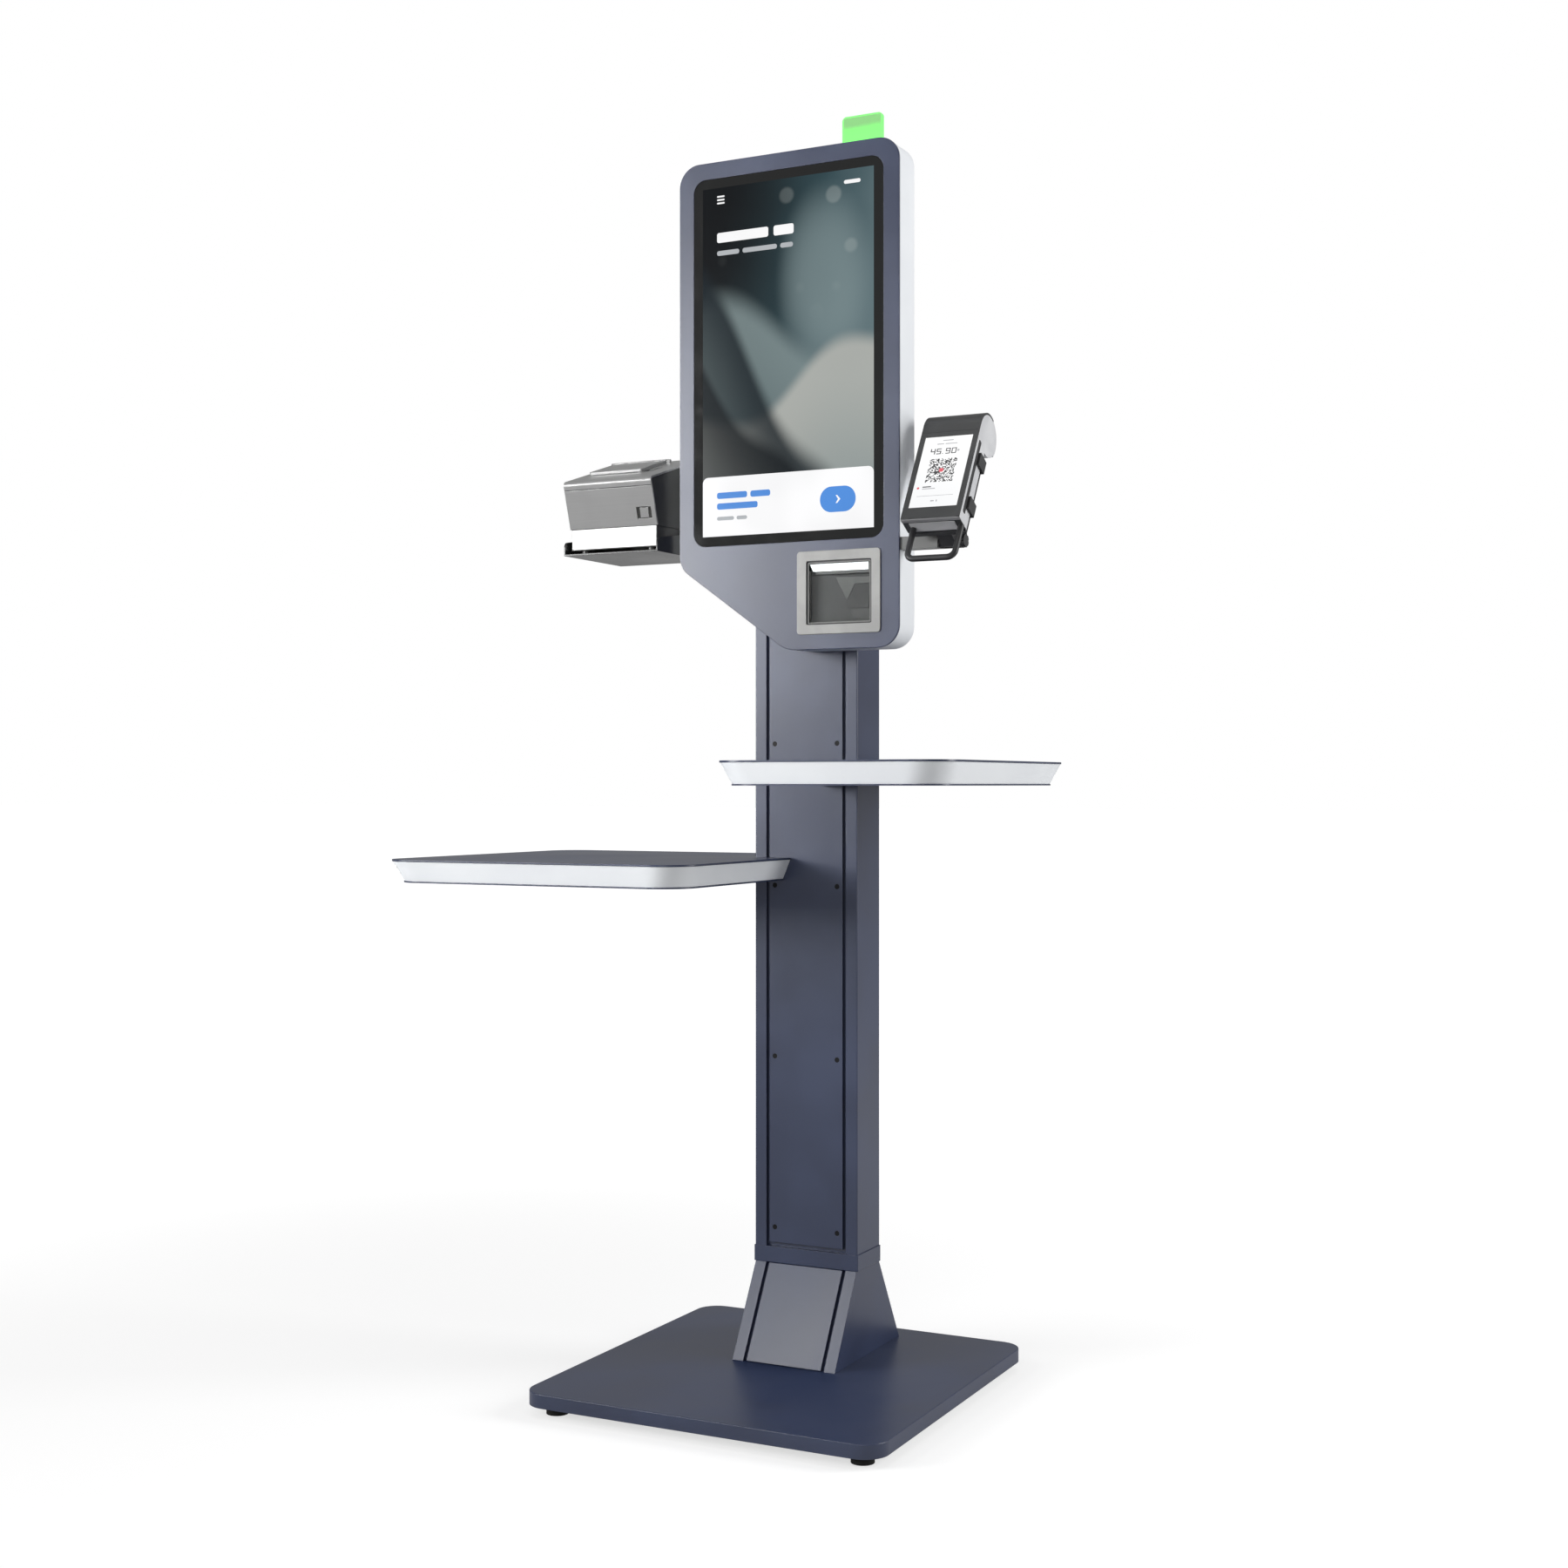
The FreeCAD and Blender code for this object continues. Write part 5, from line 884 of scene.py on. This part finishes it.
def louvre(left, right, top, tall, rise, place, across=13, down=6):
    # pressed hood: depth = rise * sin(pi * s) ** 0.35 * sin(pi / 2 * t), with s along the slot and
    # t from its closed upper edge to its open lower one; each s gives one closed cross-section
    s, t = np.linspace(0, 1, across), np.linspace(0, 1, down)
    hood = rise * np.sin(math.pi * np.clip(s, 0.004, 0.996))[:, None] ** 0.35 * np.sin(math.pi / 2 * t)
    depth = np.concatenate([hood, np.zeros((across, 2))], 1) - 0.00005
    height = top - tall * np.concatenate([t, [1.0, 0.0]])
    u = np.repeat(left + (right - left) * s, down + 2)
    v = np.tile(height, across)
    lowered = depth.ravel() - np.tile(np.concatenate([np.zeros(down), [0.0002, 0.0002]]), across)
    return place(u, v, lowered), ringFaces(across, down + 2)


def louvreBank(name, look, top, place, finish, body="kiosk_body"):
    # hoods one above the other, each with a dark plate under its lower edge that paints the shade in its open mouth
    left, right, reach = look["middle"] - look["half"], look["middle"] + look["half"], look["mouth"]
    tops = top - look["pitch"] * np.arange(look["count"])
    hoods = [louvre(left, right, upper, look["tall"], look["rise"], place) for upper in tops]
    makePiece(name, joinShapes(hoods), finish, body)
    inner, outer = left + mouthShadeLook["side"], right - mouthShadeLook["side"]
    mouthShade = [roundedPlate((inner, outer, lower - reach, lower + mouthShadeLook["lap"]), reach * mouthShadeLook["round"],
                           place, mouthShadeLook["thick"], base=mouthShadeLook["sunk"], steps=3)
              for lower in tops - look["tall"]]
    makePiece(name + "_mouth_shade", joinShapes(mouthShade), blackPlastic, body)


mouthShadeLook = {"side": 0.003, "lap": 0.0002, "round": 0.45, "thick": 0.00012, "sunk": -0.00004}
coverLow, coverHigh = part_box("column_back_cover")
coverMiddle = (coverLow.x + coverHigh.x) / 2
coverBank = {"middle": coverMiddle, "half": 0.032, "tall": 0.0075, "rise": 0.0026, "mouth": 0.0022,
             "pitch": 0.0150, "count": 7, "high": 0.045, "low": 0.135}
for end, top in (("high", coverHigh.z - coverBank["high"]), ("low", coverLow.z + coverBank["low"])):
    louvreBank("cover_louvres_" + end, coverBank, top, onBack(coverHigh.y), navyCoat)
doorLow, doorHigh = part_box("service_door")
doorBank = {"middle": (doorLow.x + doorHigh.x) / 2, "half": 0.020, "tall": 0.0060, "rise": 0.0022,
            "mouth": 0.0018, "pitch": 0.0120, "count": 5, "high": 0.030, "low": 0.084, "hinge": 0.0067}
headBack = onBack(doorHigh.y - doorBank["hinge"])  # the hinge stands out from the door's sheet
for end, top in (("high", doorHigh.z - doorBank["high"]), ("low", doorLow.z + doorBank["low"])):
    louvreBank("door_louvres_" + end, doorBank, top, headBack, whiteCoat, "door_body")

# rows of slots let warm air and the loudspeaker's sound out of the head; each is a flat dark plate that paints the
# shade inside the slot
ventLook = {"fromTop": 0.050, "rows": 3, "count": 13, "wide": 0.0035, "tall": 0.020, "across": 0.0100,
            "pitch": 0.0270, "thick": 0.00012, "sunk": -0.00004}
ventLeft = coverMiddle - ventLook["across"] * (ventLook["count"] - 1) / 2
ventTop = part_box("head_shell")[1].z - ventLook["fromTop"]
slotShade = [roundedPlate((left - ventLook["wide"] / 2, left + ventLook["wide"] / 2, top - ventLook["tall"], top),
                      ventLook["wide"] * 0.49, headBack, ventLook["thick"], base=ventLook["sunk"], steps=5)
         for left in ventLeft + ventLook["across"] * np.arange(ventLook["count"])
         for top in ventTop - ventLook["pitch"] * np.arange(ventLook["rows"])]
makePiece("head_back_vent_shade", joinShapes(slotShade), blackPlastic)
print("back ventilated")


# ---- camera, floor and lamps

def placeCamera(look):
    camera = addObject("camera", bpy.data.cameras.new("camera"))
    camera.data.lens = look["lens"]
    camera.data.sensor_width = 36.0
    camera.data.clip_end = 200.0
    camera.location = look["place"]
    camera.rotation_euler = tuple(math.radians(angle) for angle in look["turn"])
    scene.camera = camera


def placeLamp(name, place, aim, size, power, spread):
    # area lamp aimed at a point: its own -Z axis is turned along the line to it
    lamp = bpy.data.lights.new(name, "AREA")
    lamp.shape = "RECTANGLE"
    lamp.size, lamp.size_y = size
    lamp.energy = power
    lamp.spread = math.radians(spread)
    holder = addObject(name, lamp)
    holder.location = place
    direction = np.subtract(aim, place)
    holder.rotation_euler = (math.acos(-direction[2] / np.linalg.norm(direction)), 0.0,
                             math.atan2(direction[1], direction[0]) - math.pi / 2)
    return holder


def letPast(holder, names):
    # the named parts throw no shadow from this lamp, so the panel beside them stays evenly lit
    passed = bpy.data.collections.new("letPast")
    for name in names:
        passed.objects.link(bpy.data.objects[name])
    holder.light_linking.blocker_collection = passed
    for entry in passed.collection_objects:
        entry.light_linking.link_state = "EXCLUDE"


def emptyTree(owner):
    owner.use_nodes = True
    owner.node_tree.nodes.clear()
    return owner.node_tree


def seenPlainly(tree, mirrored):
    # one where the camera or glass looks straight at the surroundings, less of it in a mirror
    path = addNode(tree, "LightPath").outputs
    straight = calc(tree, "MAXIMUM", path["Is Camera Ray"], path["Is Transmission Ray"])
    return calc(tree, "MAXIMUM", straight, times(tree, path["Is Glossy Ray"], mirrored))


def whiteSurroundings(look):
    # plain room light, and plain white where the camera, a mirror or glass looks past the object
    world = bpy.data.worlds.new("studio")
    scene.world = world
    tree = emptyTree(world)
    strength = calc(tree, "MAXIMUM", seenPlainly(tree, look["mirrored"]), look["room"])
    back = addNode(tree, "Background", {"Color": plainWhite, "Strength": strength})
    addNode(tree, "OutputWorld", {"Surface": back.outputs[0]})


def paleFloor(look):
    # large plane with light of its own for camera rays, more of it further from the object, so the lower glow near
    # the object paints a soft shadow round its foot
    half = look["half"]
    mesh = bpy.data.meshes.new("floor")
    mesh.from_pydata([(-half, -half, 0), (half, -half, 0), (half, half, 0), (-half, half, 0)], [],
                     [(0, 1, 2, 3)])
    floor = addObject("floor", mesh)
    material = bpy.data.materials.new("paleFloor")
    tree = emptyTree(material)
    matt = addNode(tree, "BsdfDiffuse", {"Color": look["colour"]})
    away = addNode(tree, "VectorMath", {0: objectPlace(tree)}, operation="LENGTH").outputs["Value"]
    # lower lift near the object: painted soft shadow round its foot
    lift = times(tree, seenPlainly(tree, look["mirrored"]),
                remap(tree, away, *look["reach"], *look["lift"]))
    glow = addNode(tree, "Emission", {"Color": plainWhite, "Strength": lift})
    both = addNode(tree, "AddShader", {0: matt.outputs[0], 1: glow.outputs[0]})
    addNode(tree, "OutputMaterial", {"Surface": both.outputs[0]})
    mesh.materials.append(material)


plainWhite = (1.0, 1.0, 1.0, 1.0)
placeCamera({"lens": 47.55, "place": (1.31625, -2.4604, 0.8071), "turn": (90.0, 0.0, 26.661)})
# name, place, point aimed at, width and height, power, spread in degrees
lamps = [("frontLamp", (-2.50, -2.45, 1.62), (0.08, 0.0, 1.28), (1.6, 1.3), 19.0, 60.0),
         ("fillLamp", (0.9, -3.4, 1.3), (0.08, 0.0, 0.9), (1.5, 1.5), 15.0, 180.0),
         ("plinthLamp", (-0.85, -1.87, 1.69), (0.08, -0.1, 0.09), (0.6, 0.6), 0.45, 40.0),
         ("rightLamp", (3.38, 1.3, 1.9), (0.08, 0.0, 1.1), (1.5, 2.2), 88.0, 180.0),
         ("topLamp", (0.38, -0.6, 3.4), (0.08, 0.0, 1.0), (2.0, 2.0), 14.0, 180.0)]
holders = {name: placeLamp(name, *numbers) for name, *numbers in lamps}
letPast(holders["frontLamp"], ["printer_case", "printer_base", "printer_skin", "printer_lid", "printer_tray",
                               "printer_latch", "printer_fascia", "printer_lid_edge"])
whiteSurroundings({"room": 0.26, "mirrored": 0.35})
paleFloor({"half": 60.0, "colour": (0.5, 0.5, 0.5, 1.0), "reach": (0.5, 2.8), "lift": (0.62, 0.97),
           "mirrored": 0.35})
print("camera, floor and lamps placed")
